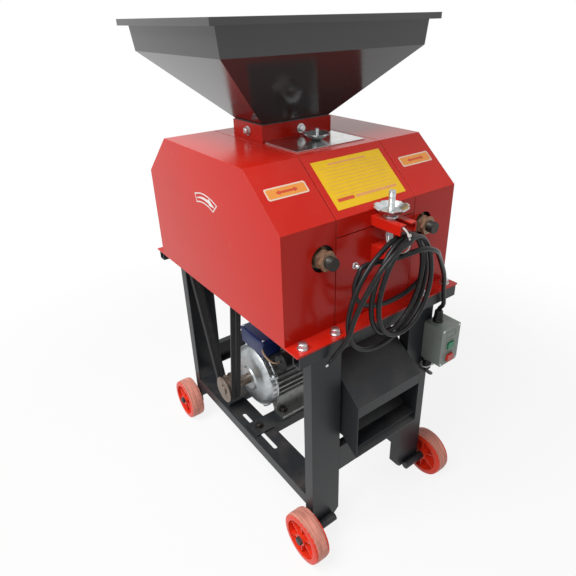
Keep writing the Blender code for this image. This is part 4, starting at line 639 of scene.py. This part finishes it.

# %% [markdown]
# ## Finishing the cords
# Each cord gets the rubber finish and moves with the frame, and the solid cord parts are hidden.
# The bare end is a stepped, gathered sleeve with a bright tip, which lies where the solid pin lies.

# %% Cord end
def declare_cords():
    for cord, node_names in (
        (mains_cord, ("cord_coil", "cord_lead", "cord_tail")),
        (motor_cable, ("motor_cable",)),
    ):
        cord.data.materials.append(finishes["cord_rubber"].material)
        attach(cord, "frame")
        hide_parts(*node_names)
    ends = []
    run = (mains[-1] - mains[-2]).normalized()
    place = aim(mains[-1] + run * seat_gap, run)
    sleeve = [
        (0, 0), (5.0, 0), (5.0, 3.0), (3.6, 3.6), (3.6, 6.0), (4.0, 6.6), (4.0, 9.6), (3.2, 10.2),
        (3.2, 12.6), (3.5, 13.2), (3.5, 16.4), (2.4, 17.2), (0, 17.2),
    ]
    tip = [(0, 17.3), (2.1, 17.3), (2.3, 18.0), (2.3, 22.0), (1.6, 23.6), (0, 24.0)]
    for name, profile, finish in (
        ("cord_end_sleeve", sleeve, "cord_rubber"),
        ("cord_end_tip", tip, "zinc"),
    ):
        shape = moved(turned([(r * mm, z * mm) for r, z in profile], 20), place)
        piece = add_piece(name, shape, finish)
        if name == "cord_end_sleeve":
            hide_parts("cord_end")
        ends.append(piece)
    return ends


print("Cord end pieces:", [piece.name for piece in declare_cords()])

# %% [markdown]
# ## Geometry Nodes for what repeats
# A tree takes named sizes and gives a mesh. The helper makes the tree's inputs, sets a modifier's
# values by each socket's identifier, reads the evaluated result back as a plain mesh and removes
# the modifier with its carrier.

# %% Geometry trees
class Shape(Tree):
    """A Geometry Nodes tree with named number inputs and a material input."""

    def __init__(self, name, sizes):
        super().__init__(bpy.data.node_groups.new(name, "GeometryNodeTree"))
        face = self.tree.interface
        self.sockets = {}
        face.new_socket(name="Geometry", in_out="INPUT", socket_type="NodeSocketGeometry")
        for size, value in sizes.items():
            kind = "NodeSocketInt" if isinstance(value, int) else "NodeSocketFloat"
            socket = face.new_socket(name=size, in_out="INPUT", socket_type=kind)
            socket.default_value = value
            self.sockets[size] = socket.identifier
        socket = face.new_socket(name="Material", in_out="INPUT", socket_type="NodeSocketMaterial")
        self.sockets["Material"] = socket.identifier
        face.new_socket(name="Geometry", in_out="OUTPUT", socket_type="NodeSocketGeometry")
        self.entry = self.tree.nodes.new("NodeGroupInput")

    def size(self, name):
        return Wire(self, self.entry.outputs[name])

    def join(self, *parts):
        made = self.tree.nodes.new("GeometryNodeJoinGeometry")
        for part in parts:
            self.tree.links.new(part.socket, made.inputs[0])
        return Wire(self, made.outputs[0])

    def bar(self, *names):
        """A cuboid whose sides are three of the tree's own sizes."""
        sides = {index: self.size(name) for index, name in enumerate(names)}
        sides = self.node("ShaderNodeCombineXYZ", {}, sides)
        return self.node("GeometryNodeMeshCube", {}, {"Size": sides})

    def lift(self, part, height):
        move = self.node("ShaderNodeCombineXYZ", {}, {2: height})
        return self.node("GeometryNodeTransform", {}, {"Geometry": part, "Translation": move})

    def close(self, part):
        """Ends the tree: real copies, the finish, and out."""
        real = self.node("GeometryNodeRealizeInstances", {}, {0: part})
        inputs = {"Geometry": real, "Material": self.size("Material")}
        painted = self.node("GeometryNodeSetMaterial", {}, inputs)
        leave = self.tree.nodes.new("NodeGroupOutput")
        self.tree.links.new(painted.socket, leave.inputs[0])

    def make(self, name, finish, body, slot, places=((0, 0, 0),), axes=None, move=None, **sizes):
        """Runs the tree on a carrier whose points are the places, and keeps a plain mesh."""
        carrier_mesh = bpy.data.meshes.new(name)
        carrier_mesh.from_pydata([tuple(place) for place in places], [], [])
        aims = carrier_mesh.attributes.new("axis", "FLOAT_VECTOR", "POINT")
        for item, axis in zip(aims.data, axes or [(0, 0, 1)] * len(places)):
            item.vector = axis
        carrier = bpy.data.objects.new(name + "_carrier", carrier_mesh)
        scene.collection.objects.link(carrier)
        modifier = carrier.modifiers.new("shape", "NODES")
        modifier.node_group = self.tree
        for size, value in sizes.items():
            modifier[self.sockets[size.replace("_", " ").capitalize()]] = value
        modifier[self.sockets["Material"]] = finishes[finish].material
        bpy.context.view_layer.update()
        ready = carrier.evaluated_get(bpy.context.evaluated_depsgraph_get())
        mesh = bpy.data.meshes.new_from_object(ready)
        carrier.modifiers.clear()
        bpy.data.objects.remove(carrier)
        if move:
            mesh.transform(move)
        return add_mesh(name, mesh, finish, body)


print("Geometry helper is ready")

# %% [markdown]
# ## Bolts
# A hexagon bolt is a washer, a six-sided head and a turned crown that chamfers its corners. The
# tree puts one on every point of a carrier and turns it along the point's axis, so one tree serves
# the flange, the collar, the motor and the wheels.

# %% Bolt tree
def bolt_tree():
    sizes = {"Flats": 0.016, "Height": 0.008, "Crown": 0.001}
    tree = Shape("bolts", {**sizes, "Washer radius": 0.011, "Washer height": 0.002})
    flats, height, crown = (tree.size(name) for name in sizes)
    corner = flats / math.sqrt(3.0)
    washer_radius, washer_height = tree.size("Washer radius"), tree.size("Washer height")

    def prism(sides, low, high, depth, middle):
        inputs = {"Vertices": sides, "Radius Top": high, "Radius Bottom": low, "Depth": depth}
        return tree.lift(tree.node("GeometryNodeMeshCone", {}, inputs), middle)

    washer = prism(32, washer_radius, washer_radius * 0.97, washer_height, 0.0)
    head = prism(6, corner, corner, height, washer_height)
    cap = prism(24, flats * 0.5, flats * 0.36, crown, washer_height + height)
    bolt = tree.join(washer, head, cap)
    settings = {"data_type": "FLOAT_VECTOR"}
    axis = tree.node("GeometryNodeInputNamedAttribute", settings, {"Name": "axis"})
    turn = tree.node("FunctionNodeAlignRotationToVector", {"axis": "Z"}, {"Vector": axis})
    inputs = {"Points": tree.size("Geometry"), "Instance": bolt, "Rotation": turn}
    tree.close(tree.node("GeometryNodeInstanceOnPoints", {}, inputs))
    return tree


bolts = bolt_tree()
print("Bolt tree inputs:", sorted(bolts.sockets))

# %% Bolts on the housing and the stand
left, right, front, back, up = (-1, 0, 0), (1, 0, 0), (0, -1, 0), (0, 1, 0), (0, 0, 1)


def bolt_row(name, finish, slot, places, axes, sizes, body="frame"):
    """Sizes in millimetres: flats, head, crown, washer radius and washer height."""
    flats, height, crown, washer_radius, washer_height = (size * mm for size in sizes)
    return bolts.make(
        name, finish, body, slot, millimetres(*places), axes, flats=flats, height=height,
        crown=crown, washer_radius=washer_radius, washer_height=washer_height,
    )


flange_places = [(x, y, 596.3) for x in (-209, -127, 127, 209) for y in (-305, 305)]
collar_places = [(-95, 32.4, 941), (95, 32.4, 941), (8, -24, 941), (8, 94, 941)]
panel_places = [(x, -282, 718) for x in (-57.5, 61.5)]
bolt_row("flange_bolts", "zinc", "zinc", flange_places, [up] * 8, (16.6, 9.4, 1.6, 11.3, 2.9))
bolt_row(
    "collar_bolts", "zinc", "zinc", collar_places, [left, right, front, back],
    (13.6, 6.4, 1.4, 10.6, 1.6),
)
bolt_row("panel_bolts", "zinc", "zinc", panel_places, [front] * 2, (10, 6, 3, 7.5, 1.4))
for end_name, y in (("front", -311), ("rear", 311)):
    for side_name, x, axis in (("left", -232.45, left), ("right", 232.45, right)):
        bolt_row(
            f"{end_name}_{side_name}_axle_nut", "cast_iron", "zinc", [(x, y, 62.5)], [axis],
            (16.8, 5.9, 0.9, 9.8, 1.2),
        )
bar_places = [(x, y, 149.3) for x in (-151, 151) for y in (-18, 154)]
bolt_row(
    "bar_bolts", "dark_thread", "frame_paint", bar_places, [up] * 4, (16.4, 7.4, 1.2, 12.5, 2.2)
)
print("Bolts on the flange:", len(flange_places))

# %% [markdown]
# ## Threads
# A thread is a helix round a core. The Spiral node gives the helix; a three-sided profile makes a
# thread of it, and a round one makes a spring wire. The same tree dresses the clamp rod, the gap
# studs and the gate's stud.

# %% Helix tree
def helix_tree():
    sizes = {"Radius": 0.006, "Pitch": 0.0018, "Length": 0.05}
    tree = Shape("helix", {**sizes, "Wire": 0.0009, "Core": 0.006, "Sides": 3})
    turns = tree.size("Length") / tree.size("Pitch")
    inputs = {
        "Resolution": 28, "Rotations": turns, "Start Radius": tree.size("Radius"),
        "End Radius": tree.size("Radius"), "Height": tree.size("Length"),
    }
    spiral = tree.node("GeometryNodeCurveSpiral", {}, inputs)
    inputs = {"Resolution": tree.size("Sides"), "Radius": tree.size("Wire")}
    profile = tree.node("GeometryNodeCurvePrimitiveCircle", {"mode": "RADIUS"}, inputs)
    inputs = {"Curve": spiral, "Profile Curve": profile, "Fill Caps": True}
    thread = tree.node("GeometryNodeCurveToMesh", {}, inputs)
    inputs = {"Vertices": 28, "Radius": tree.size("Core"), "Depth": tree.size("Length")}
    core = tree.node("GeometryNodeMeshCylinder", {}, inputs)
    tree.close(tree.join(thread, tree.lift(core, tree.size("Length") * 0.5)))
    return tree


helix = helix_tree()


def thread(name, finish, body, slot, start, direction, length, radius, pitch=1.75):
    """A threaded rod from its start in millimetres along a direction."""
    return helix.make(
        name, finish, body, slot, move=aim(Vector(start) * mm, direction), radius=radius * mm,
        pitch=pitch * mm, length=length * mm, wire=pitch * mm * 0.42, core=radius * mm, sides=3,
    )


thread("clamp_rod_thread", "zinc", "frame", "red_paint", (3, -314, 755.2), up, 113.4, 6.05)
thread("gate_stud_thread", "zinc", "frame", "red_paint", (8, -81, 925.6), up, 23.4, 4.05, 1.25)
for side_name, x in (("left", -140), ("right", 140)):
    thread(
        side_name + "_gap_stud_thread", "dark_thread", "carriage", "cast_iron",
        (x, -299.5, 757), front, 16.6, 12.05, 2.5,
    )
    bolt_row(
        side_name + "_lock_nut", "nut_steel", "nut_steel", [(x, -290.4, 757)], [front],
        (36, 7.6, 1.3, 17.4, 0.8), side_name + "_nut",
    )
print("Threads are on")

# %% [markdown]
# ## Rubber boots
# Each gland ends in a tapered boot with ribs. The boot is turned; the ribs are the same ring again
# and again, smaller each time, so a tree scales a ring by its own index.

# %% Rib tree and boots
def rib_tree():
    tree = Shape(
        "ribs", {"Count": 5, "Step": 0.004, "First": 0.010, "Last": 0.008, "Thickness": 0.0012}
    )
    offset = tree.node("ShaderNodeCombineXYZ", {}, {2: tree.size("Step")})
    inputs = {"Count": tree.size("Count"), "Offset": offset}
    line = tree.node("GeometryNodeMeshLine", {"mode": "OFFSET"}, inputs)
    by_radius = {"mode": "RADIUS"}
    inputs = {"Resolution": 32, "Radius": 1.0}
    circle = tree.node("GeometryNodeCurvePrimitiveCircle", by_radius, inputs)
    index = tree.node("GeometryNodeInputIndex")
    inputs = {
        "Value": index, "From Min": 0.0, "From Max": tree.size("Count") - 1.0,
        "To Min": tree.size("First"), "To Max": tree.size("Last"),
    }
    radius = tree.node("ShaderNodeMapRange", {}, inputs)
    scale = tree.node("ShaderNodeCombineXYZ", {}, {0: radius, 1: radius, 2: 1.0})
    inputs = {"Points": line, "Instance": circle, "Scale": scale}
    rings = tree.node("GeometryNodeInstanceOnPoints", {}, inputs)
    rings = tree.node("GeometryNodeRealizeInstances", {}, {0: rings})
    inputs = {"Resolution": 8, "Radius": tree.size("Thickness")}
    profile = tree.node("GeometryNodeCurvePrimitiveCircle", by_radius, inputs)
    tree.close(tree.node("GeometryNodeCurveToMesh", {}, {"Curve": rings, "Profile Curve": profile}))
    return tree


ribs = rib_tree()


def boot(name, place, direction, bore):
    profile = [(0, 0), (12.6, 0), (12.6, 3.4), (10.9, 4.6), (9.4, 16), (8.6, 27), (8.0, 29)]
    profile = [(r * mm, z * mm) for r, z in profile + [(bore, 29.6), (bore, 24), (0, 24)]]
    matrix = aim(Vector(place) * mm, direction)
    add_piece(name, moved(turned(profile, 32), matrix), "black_plastic")
    ribs.make(
        name + "_ribs", "black_plastic", "frame", "cord_rubber",
        move=matrix @ Matrix.Translation((0, 0, 7.5 * mm)), count=6, step=3.6 * mm,
        first=10.3 * mm, last=8.7 * mm, thickness=1.1 * mm,
    )


boot("upper_boot", (184.5, -318.3, 510.1), (0, 0, 1), 5.4)
boot("lower_boot", (168, -313.3, 404.9), (0, 0, -1), 4.7)
print("Boots are on")

# %% [markdown]
# ## Ties
# Two cable ties: one gathers the loops under the handwheel, the other holds the motor cable on the
# leg. A tie is a flat band round an oval path, with a small head. The band is swept by hand: at
# each point of the oval it gets four corners.

# %% Cable ties
tie_width = 4.2
tie_thickness = 1.2
tie_head = (6.4, 5.6, 4.6)
tie_steps = 48


def cable_tie(name, centre, across, along, half_across, half_along, head_angle):
    """across and along span the oval's plane; the band's width runs along their cross product."""
    across, along = Vector(across).normalized(), Vector(along).normalized()
    side = across.cross(along)

    def on_oval(angle):
        reach = across * half_across * math.cos(angle)
        return Vector(centre) + reach + along * half_along * math.sin(angle)

    shape = bmesh.new()
    rings = []
    for index in range(tie_steps):
        angle = 2 * math.pi * index / tie_steps
        out = across * math.cos(angle) / half_across + along * math.sin(angle) / half_along
        out.normalize()
        corners = [(0, -1), (1, -1), (1, 1), (0, 1)]
        ring = [out * tie_thickness * a + side * tie_width / 2 * b for a, b in corners]
        rings.append([shape.verts.new((on_oval(angle) + corner) * mm) for corner in ring])
    for first, second in zip(rings, rings[1:] + rings[:1]):
        for index in range(4):
            shape.faces.new((first[index - 1], first[index], second[index], second[index - 1]))
    out = (across * math.cos(head_angle) + along * math.sin(head_angle)).normalized()
    head = bmesh.ops.create_cube(shape, size=1.0)["verts"]
    turn = Matrix((side, out.cross(side), out)).transposed().to_4x4()
    place = Matrix.Translation((on_oval(head_angle) + out * 2.2) * mm) @ turn
    size = Matrix.Diagonal((*(length * mm for length in tie_head), 1.0))
    bmesh.ops.transform(shape, matrix=place @ size, verts=head)
    return bevelled(add_piece(name, shape, "tie_nylon"), 0.4 * mm)


cable_tie("coil_tie", (-12, -350, 785), (0, 1, 0), (0, 0, 1), 29, 27, math.radians(148))
cable_tie("leg_tie", (163, -316, 394), (1, 0, 0.25), (0, 1, 0), 14, 12, math.radians(-60))
print("Ties are on")

# %% [markdown]
# ## Labels on the slope
# A label's outline is drawn flat, given a film's thickness and moved onto the sheet. The slope of
# the covers has its own axes: X runs across it and the second axis climbs it.

# %% The slope's axes
slope_foot = Vector((0, -282.0, 826.6)) * mm
slope_head = Vector((0, -169.0, 922.6)) * mm
slope_up = (slope_head - slope_foot).normalized()
slope_out = Vector((1, 0, 0)).cross(slope_up)
film_lift = 0.05 * mm


def on_slope(x, climb, lift=0.0):
    turn = Matrix((Vector((1, 0, 0)), slope_up, slope_out)).transposed().to_4x4()
    place = slope_foot + Vector((x * mm, 0, 0)) + slope_up * climb * mm
    return Matrix.Translation(place + slope_out * (film_lift + lift * mm)) @ turn


def round_rectangle(half_x, half_y, radius, steps=6):
    points = []
    for quarter, (sx, sy) in enumerate(((1, 1), (-1, 1), (-1, -1), (1, -1))):
        for index in range(steps + 1):
            angle = math.pi / 2 * (quarter + index / steps)
            x = sx * (half_x - radius) + radius * math.cos(angle)
            y = sy * (half_y - radius) + radius * math.sin(angle)
            points.append((x * mm, y * mm))
    return points


def double_arrow(half_length, half_width, head):
    neck = half_length - head
    shaft = half_width * 0.45
    half = [(-half_length, 0), (-neck, half_width), (-neck, shaft)]
    half += [(neck, shaft), (neck, half_width), (half_length, 0)]
    return [(x * mm, y * mm) for x, y in half + [(x, -y) for x, y in half[-2:0:-1]]]


def label(name, outline, thickness, matrix, finish):
    shape = moved(slab(outline, thickness * mm), matrix)
    return add_piece(name, shape, finish, smooth=False)


print("Slope rises", round(math.degrees(math.atan2(slope_up.z, slope_up.y)), 1), "degrees")

# %% Labels
for side_name, x in (("left", -172.5), ("right", 173.0)):
    for name, outline, thickness, lift, finish in (
        ("_arrow_label", round_rectangle(46, 13, 4), 0.15, 0.0, "pale_film"),
        ("_arrow_field", round_rectangle(43, 10, 3), 0.08, 0.15, "orange_film"),
        ("_arrow", double_arrow(25, 5.5, 9), 0.06, 0.23, "dark_rose_ink"),
    ):
        label(side_name + name, outline, thickness, on_slope(x, 84, lift), finish)
label("instruction_label", round_rectangle(92, 56, 1.0), 0.15, on_slope(0, 73), "yellow_film")
print("Labels are on")

# %% Ruled lines
def row_tree():
    """Bars of one size in a row that climbs the label."""
    sizes = {"Length": 0.15, "Width": 0.001, "Thickness": 0.00008}
    tree = Shape("rows", {"Count": 8, "Step": 0.008, **sizes})
    offset = tree.node("ShaderNodeCombineXYZ", {}, {1: tree.size("Step")})
    inputs = {"Count": tree.size("Count"), "Offset": offset}
    line = tree.node("GeometryNodeMeshLine", {"mode": "OFFSET"}, inputs)
    inputs = {"Points": line, "Instance": tree.bar(*sizes)}
    tree.close(tree.node("GeometryNodeInstanceOnPoints", {}, inputs))
    return tree


rows = row_tree()
for name, finish, x, climb, count, step, length, width in (
    ("label_lines", "rose_ink", 0, 45, 9, 8.2, 158, 0.9),
    ("label_heading", "rose_ink", -5, 118, 1, 1.0, 100, 4.0),
    ("label_block", "dark_rose_ink", -59, 37, 1, 1.0, 42, 7.5),
    ("label_footer", "rose_ink", 22, 37, 1, 1.0, 112, 6.0),
):
    rows.make(
        name, finish, "frame", "red_paint", move=on_slope(x, climb, 0.19), count=count,
        step=step * mm, length=length * mm, width=width * mm, thickness=0.08 * mm,
    )
print("Rows are on")

# %% [markdown]
# The turning mark on the belt cover is a curved banner in a white outline with an arrow inside that
# tapers from its tail. The outline is a strip of one width, drawn through the banner's corners.

# %% Turning arrow
strip_thickness = 0.12
mitre_limit = 0.4


def strip_along(name, points, width, matrix, finish):
    """A closed flat line of one width through the points, mitred at the corners."""
    shape = bmesh.new()
    points = [Vector(point) for point in points]
    rings = []
    for before, here, after in zip(points[-1:] + points, points, points[1:] + points[:1]):
        runs = [(here - before).normalized(), (after - here).normalized()]
        sides = [Vector((-run.y, run.x)) for run in runs]
        out = (sides[0] + sides[1]).normalized()
        reach = width / 2 / max(out.dot(sides[0]), mitre_limit)
        ring = [(here + out * reach * side) * mm for side in (-1, 1)]
        heights = (0.0, strip_thickness * mm)
        rings.append([shape.verts.new((x, y, z)) for (x, y) in ring for z in heights])
    for first, second in zip(rings, rings[1:] + rings[:1]):
        for a, b in ((0, 1), (1, 3), (3, 2), (2, 0)):
            shape.faces.new((first[a], first[b], second[b], second[a]))
    return add_piece(name, moved(shape, matrix), finish, smooth=False)


left_face = Matrix(((0, 0, -1, 0), (-1, 0, 0, 0), (0, 1, 0, 0), (0, 0, 0, 1)))
on_left_cover = Matrix.Translation((-235.05 * mm, 0, 0)) @ left_face
banner = (
    (-38.2, 826.4), (-32.9, 809), (-16.8, 812.7), (-0.5, 813.7), (21.3, 810.7), (38.6, 804.4),
    (56.8, 821.5), (39.2, 828.5), (20.4, 832.3), (4, 833.6), (-13.3, 832.6),
)
strip_along("turning_arrow", banner, 2.6, on_left_cover, "white_ink")
pointer = (
    (-31, 819.0), (-15, 824.6), (1.7, 826.2), (20, 824.9), (23, 829), (47, 814), (25, 814),
    (21, 818), (1.7, 821.0), (-15, 820.6), (-31, 817.4),
)
label("turning_pointer", [(x * mm, y * mm) for x, y in pointer], 0.12, on_left_cover, "white_ink")
print("Turning arrow points:", len(banner))

# %% [markdown]
# ## Switch box
# The solid box has the right outline. What is missing is close work: a dark gasket line between
# base and cover, a raised rim round each button with a black ring inside it as painted shade of the
# recess, four cover screws and the rim of a bare plate.

# %% Switch box details
def frame_shape(half_x, half_y, radius, width, thickness):
    outer = round_rectangle(half_x, half_y, radius)
    inner = round_rectangle(half_x - width, half_y - width, max(radius - width, 0.5))
    shape = bmesh.new()
    loops = []
    for outline, height in ((outer, 0), (outer, thickness), (inner, thickness), (inner, 0)):
        loops.append([shape.verts.new((x, y, height)) for x, y in outline])
    for first, second in zip(loops, loops[1:] + loops[:1]):
        for index in range(len(first)):
            shape.faces.new((first[index - 1], first[index], second[index], second[index - 1]))
    return shape


front_face = Matrix(((1, 0, 0, 0), (0, 0, -1, 0), (0, 1, 0, 0), (0, 0, 0, 1)))


def facing_front(x, y, z):
    return Matrix.Translation(Vector((x, y, z)) * mm) @ front_face


cover_face = -355.1
cover_back = -328.7
button_x = 191


def box_ring(name, finish, sizes, place):
    """Sizes in millimetres: half width, half height, corner, band and thickness."""
    shape = frame_shape(*sizes[:4], sizes[4] * mm)
    return add_piece(name, moved(shape, facing_front(*place)), finish)


for name, z in (("start", 458), ("stop", 424)):
    place = (button_x, cover_face, z)
    bevelled(box_ring(name + "_rim", "box_plastic", (14.2, 12.4, 4.0, 2.4, 1.6), place), 0.5 * mm)
    # A thin black ring inside each rim: painted shade of the button's recess.
    box_ring(name + "_recess", "black_plastic", (11.7, 9.9, 3.0, 2.2, 0.35), place)
box_ring("plate_rim", "box_plastic", (17, 8.5, 2.0, 1.2, 0.7), (192, cover_face, 488))
box_ring("box_gasket", "black_plastic", (32.4, 51.9, 5.0, 3.0, 0.5), (button_x, cover_back, 457.5))
box_screws = [(x, cover_face, z) for x in (163.5, 218.5) for z in (411, 504)]
bolt_row("box_screws", "zinc", "box_plastic", box_screws, [front] * 4, (3.4, 0.5, 0.3, 2.9, 0.7))
print("Switch box screws:", len(box_screws))

# %% [markdown]
# ## Chute sheets
# The chute's mouth has a folded lip across its top and a floor sheet inside, above the ends of its
# sides. Both are plain folded sheet, so a flat outline with a wall and a rounded edge is enough.

# %% Chute sheets
chute_wall = 1.5 * mm
fold_radius = 0.6 * mm


def sheet(name, half_width, low, high, place):
    """A flat sheet as wide as twice its half width, between two heights of its outline."""
    corners = ((-half_width, low), (half_width, low), (half_width, high), (-half_width, high))
    shape = slab([(x * mm, y * mm) for x, y in corners], chute_wall)
    piece = add_piece(name, moved(shape, place), "frame_paint")
    return bevelled(piece, fold_radius)


lip = sheet("chute_lip", 96, 387, 414.5, facing_front(0, -348.4, 0))
chute_floor = sheet("chute_floor", 95, -347, -190, Matrix.Translation((0, 0, 299 * mm)))
print("Chute sheets:", lip.name, chute_floor.name)

# %% [markdown]
# ## Motor
# The drive end is a turned bell with four lugs, so one profile goes round the shaft and four short
# cylinders join it. Hexagon screws hold the lugs, small ones the terminal box lid. A light lead
# arches from the box to the capacitor. The fan cover's rings of slots are painted shade: thin black
# bars laid on its face stand for the dark openings.

# %% Motor end bell
motor_axis = Vector((0, 68.0, 249.6))
bell_back = -84.0
bell_profile = (
    (0, 0), (93, 0), (93, 4), (91, 6), (91, 20), (88, 24), (80, 30), (72, 33), (60, 34), (36, 35.5),
    (33, 38), (32, 41), (15, 41), (15, 39), (0, 39),
)
lug_ring = 92.0
lug_height = 12.0
lug_profile = ((0, 0), (8, 0), (8, 11), (7.2, lug_height), (0, lug_height))
lug_places = []
for angle in (66, 155, 245, 335):
    turn = math.radians(angle)
    around = Vector((bell_back, lug_ring * math.cos(turn), lug_ring * math.sin(turn)))
    lug_places.append(motor_axis + around)


def on_drive_end(profile, place, steps):
    """A turned shape that stands on the bell's back plane and faces the pulley."""
    shape = turned([(r * mm, z * mm) for r, z in profile], steps)
    return moved(shape, aim(place * mm, left))


bell = on_drive_end(bell_profile, motor_axis + Vector((bell_back, 0, 0)), 72)
for place in lug_places:
    lug = on_drive_end(lug_profile, place, 24)
    spare = bpy.data.meshes.new("lug")
    lug.to_mesh(spare)
    lug.free()
    bell.from_mesh(spare)
    bpy.data.meshes.remove(spare)
bell = add_piece("motor_end_bell", bell, "shield_alloy")
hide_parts("motor_end_shield")
print("Bell lugs:", len(lug_places))

# %% Motor screws
screw_places = [place + Vector((-lug_height, 0, 0)) for place in lug_places]
foot_places = [(x, y, 160.6) for x in (-68, 72) for y in (-18, 154)]
lid_places = [(x, y, 392) for x in (-100, -55) for y in (17, 117)]
bolt_row(
    "shield_screws", "zinc", "shield_alloy", screw_places, [left] * 4, (10, 5, 1.2, 7.2, 1.4)
)
bolt_row(
    "foot_bolts", "dark_thread", "motor_alloy", foot_places, [up] * 4, (16.6, 7.6, 1.4, 12, 2.0)
)
bolt_row("terminal_screws", "zinc", "blue_plastic", lid_places, [up] * 4, (4.2, 1.2, 0.6, 4.0, 0.9))
print("Shield screws:", len(screw_places))

# %% Capacitor lead
lead_radius = 2.6 * mm
lead_points = millimetres(
    (-104.5, 16, 366), (-110, 4, 366), (-112, -12, 362), (-106, -26, 352), (-92, -30, 344),
    (-79, -26, 338),
)
capacitor_lead = lay_cord("capacitor_lead", smooth_route(lead_points), lead_radius)
capacitor_lead.data.materials.append(finishes["beige_sleeve"].material)
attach(capacitor_lead, "frame")
print("Lead points:", len(lead_points))

# %% Fan cover slots, painted as dark bars
def slot_shade_ring_tree():
    sizes = {"Width": 0.003, "Length": 0.009, "Thickness": 0.0004}
    tree = Shape("slot_ring", {"Count": 24, "Radius": 0.05, **sizes})
    inputs = {"Vertices": tree.size("Count"), "Radius": tree.size("Radius")}
    ring = tree.node("GeometryNodeMeshCircle", {}, inputs)
    place = tree.node("GeometryNodeInputPosition")
    over, along = (tree.node("ShaderNodeSeparateXYZ", {}, {0: place}, axis) for axis in (0, 1))
    turn = tree.node("ShaderNodeCombineXYZ", {}, {2: along.math("ARCTAN2", along, over)})
    inputs = {"Points": ring, "Instance": tree.bar(*sizes), "Rotation": turn}
    tree.close(tree.node("GeometryNodeInstanceOnPoints", {}, inputs))
    return tree


slot_ring = slot_shade_ring_tree()
fan_face = aim((motor_axis + Vector((202.3, 0, 0))) * mm, right)
slot_share = 0.68
# Thin black bars on the fan cover's face: painted shade where the slot openings are.
for index, (radius, count) in enumerate(((22, 10), (34, 16), (46, 22), (58, 26), (69, 32))):
    slot_ring.make(
        f"fan_slots_{index}", "belt_rubber", "frame", "motor_alloy", move=fan_face, count=count,
        radius=radius * mm, length=2 * math.pi * radius * mm / count * slot_share,
        width=5.2 * mm, thickness=0.5 * mm,
    )
print("Fan slots are on")

# %% [markdown]
# ## Floor and light
# The photograph's ground is white. The floor and the world show white to the camera, to gloss and
# to glass through the Light Path node, and light the mill at a plain level. Near the mill a share
# of plain grey keeps the floor's shadow, and farther out the floor is all white. One large soft
# lamp stands high on the left: the left cover is the brightest side and the front is in soft shade.

# %% Light and floor
ambient = 0.29
lamp_power = 112.0
lamp_place = Vector((-1.75, -0.25, 3.2))
lamp_target = Vector((0, 0, 0.6))
lamp_size = 1.9
floor_grey = 0.8
floor_half = 6.0
floor_share = 0.86
fade_start, fade_end = 0.8, 1.7


def seen_white(tree):
    """1 for the rays that should see plain white."""
    kinds = ("Is Camera Ray", "Is Glossy Ray", "Is Transmission Ray")
    camera_ray, gloss_ray, glass_ray = (
        tree.node("ShaderNodeLightPath", output=kind) for kind in kinds
    )
    seen = camera_ray + gloss_ray + glass_ray
    return seen.math("MINIMUM", seen, 1.0)


def make_world():
    world = bpy.data.worlds.new("studio")
    world.use_nodes = True
    scene.world = world
    tree = Tree(world.node_tree)
    sky = world.node_tree.nodes["Background"]
    sky.inputs["Color"].default_value = (1, 1, 1, 1)
    tree.feed(sky.inputs["Strength"], seen_white(tree) * (1 - ambient) + ambient)


def make_floor():
    shape = bmesh.new()
    bmesh.ops.create_grid(shape, x_segments=2, y_segments=2, size=floor_half)
    mesh = bpy.data.meshes.new("floor")
    shape.to_mesh(mesh)
    shape.free()
    floor = bpy.data.objects.new("floor", mesh)
    scene.collection.objects.link(floor)
    material = bpy.data.materials.new("floor")
    material.use_nodes = True
    material.node_tree.nodes.clear()
    tree = Tree(material.node_tree)
    matte = tree.node("ShaderNodeBsdfDiffuse", {}, {"Color": (*(floor_grey,) * 3, 1)})
    white = tree.node("ShaderNodeEmission", {}, {"Color": (1, 1, 1, 1), "Strength": 1.0})
    place = tree.node("ShaderNodeTexCoord", output="Object")
    reach = tree.node("ShaderNodeVectorMath", {"operation": "LENGTH"}, {0: place}, 1)
    inputs = {"Value": reach, "From Min": fade_start, "From Max": fade_end, "To Min": floor_share}
    share = tree.node("ShaderNodeMapRange", {"interpolation_type": "SMOOTHSTEP"}, inputs)
    inputs = {0: seen_white(tree) * share, 1: matte, 2: white}
    surface = tree.node("ShaderNodeMixShader", {}, inputs)
    tree.node("ShaderNodeOutputMaterial", {}, {"Surface": surface})
    floor.data.materials.append(material)


def make_lamp():
    data = bpy.data.lights.new("lamp", "AREA")
    data.size = lamp_size
    data.energy = lamp_power
    lamp = bpy.data.objects.new("lamp", data)
    scene.collection.objects.link(lamp)
    aim_back = lamp_place - lamp_target
    lamp.matrix_world = aim(lamp_place, aim_back.normalized())


make_world()
make_floor()
make_lamp()
scene.view_settings.view_transform = "Standard"
print("Lamp at", [round(value, 2) for value in lamp_place])
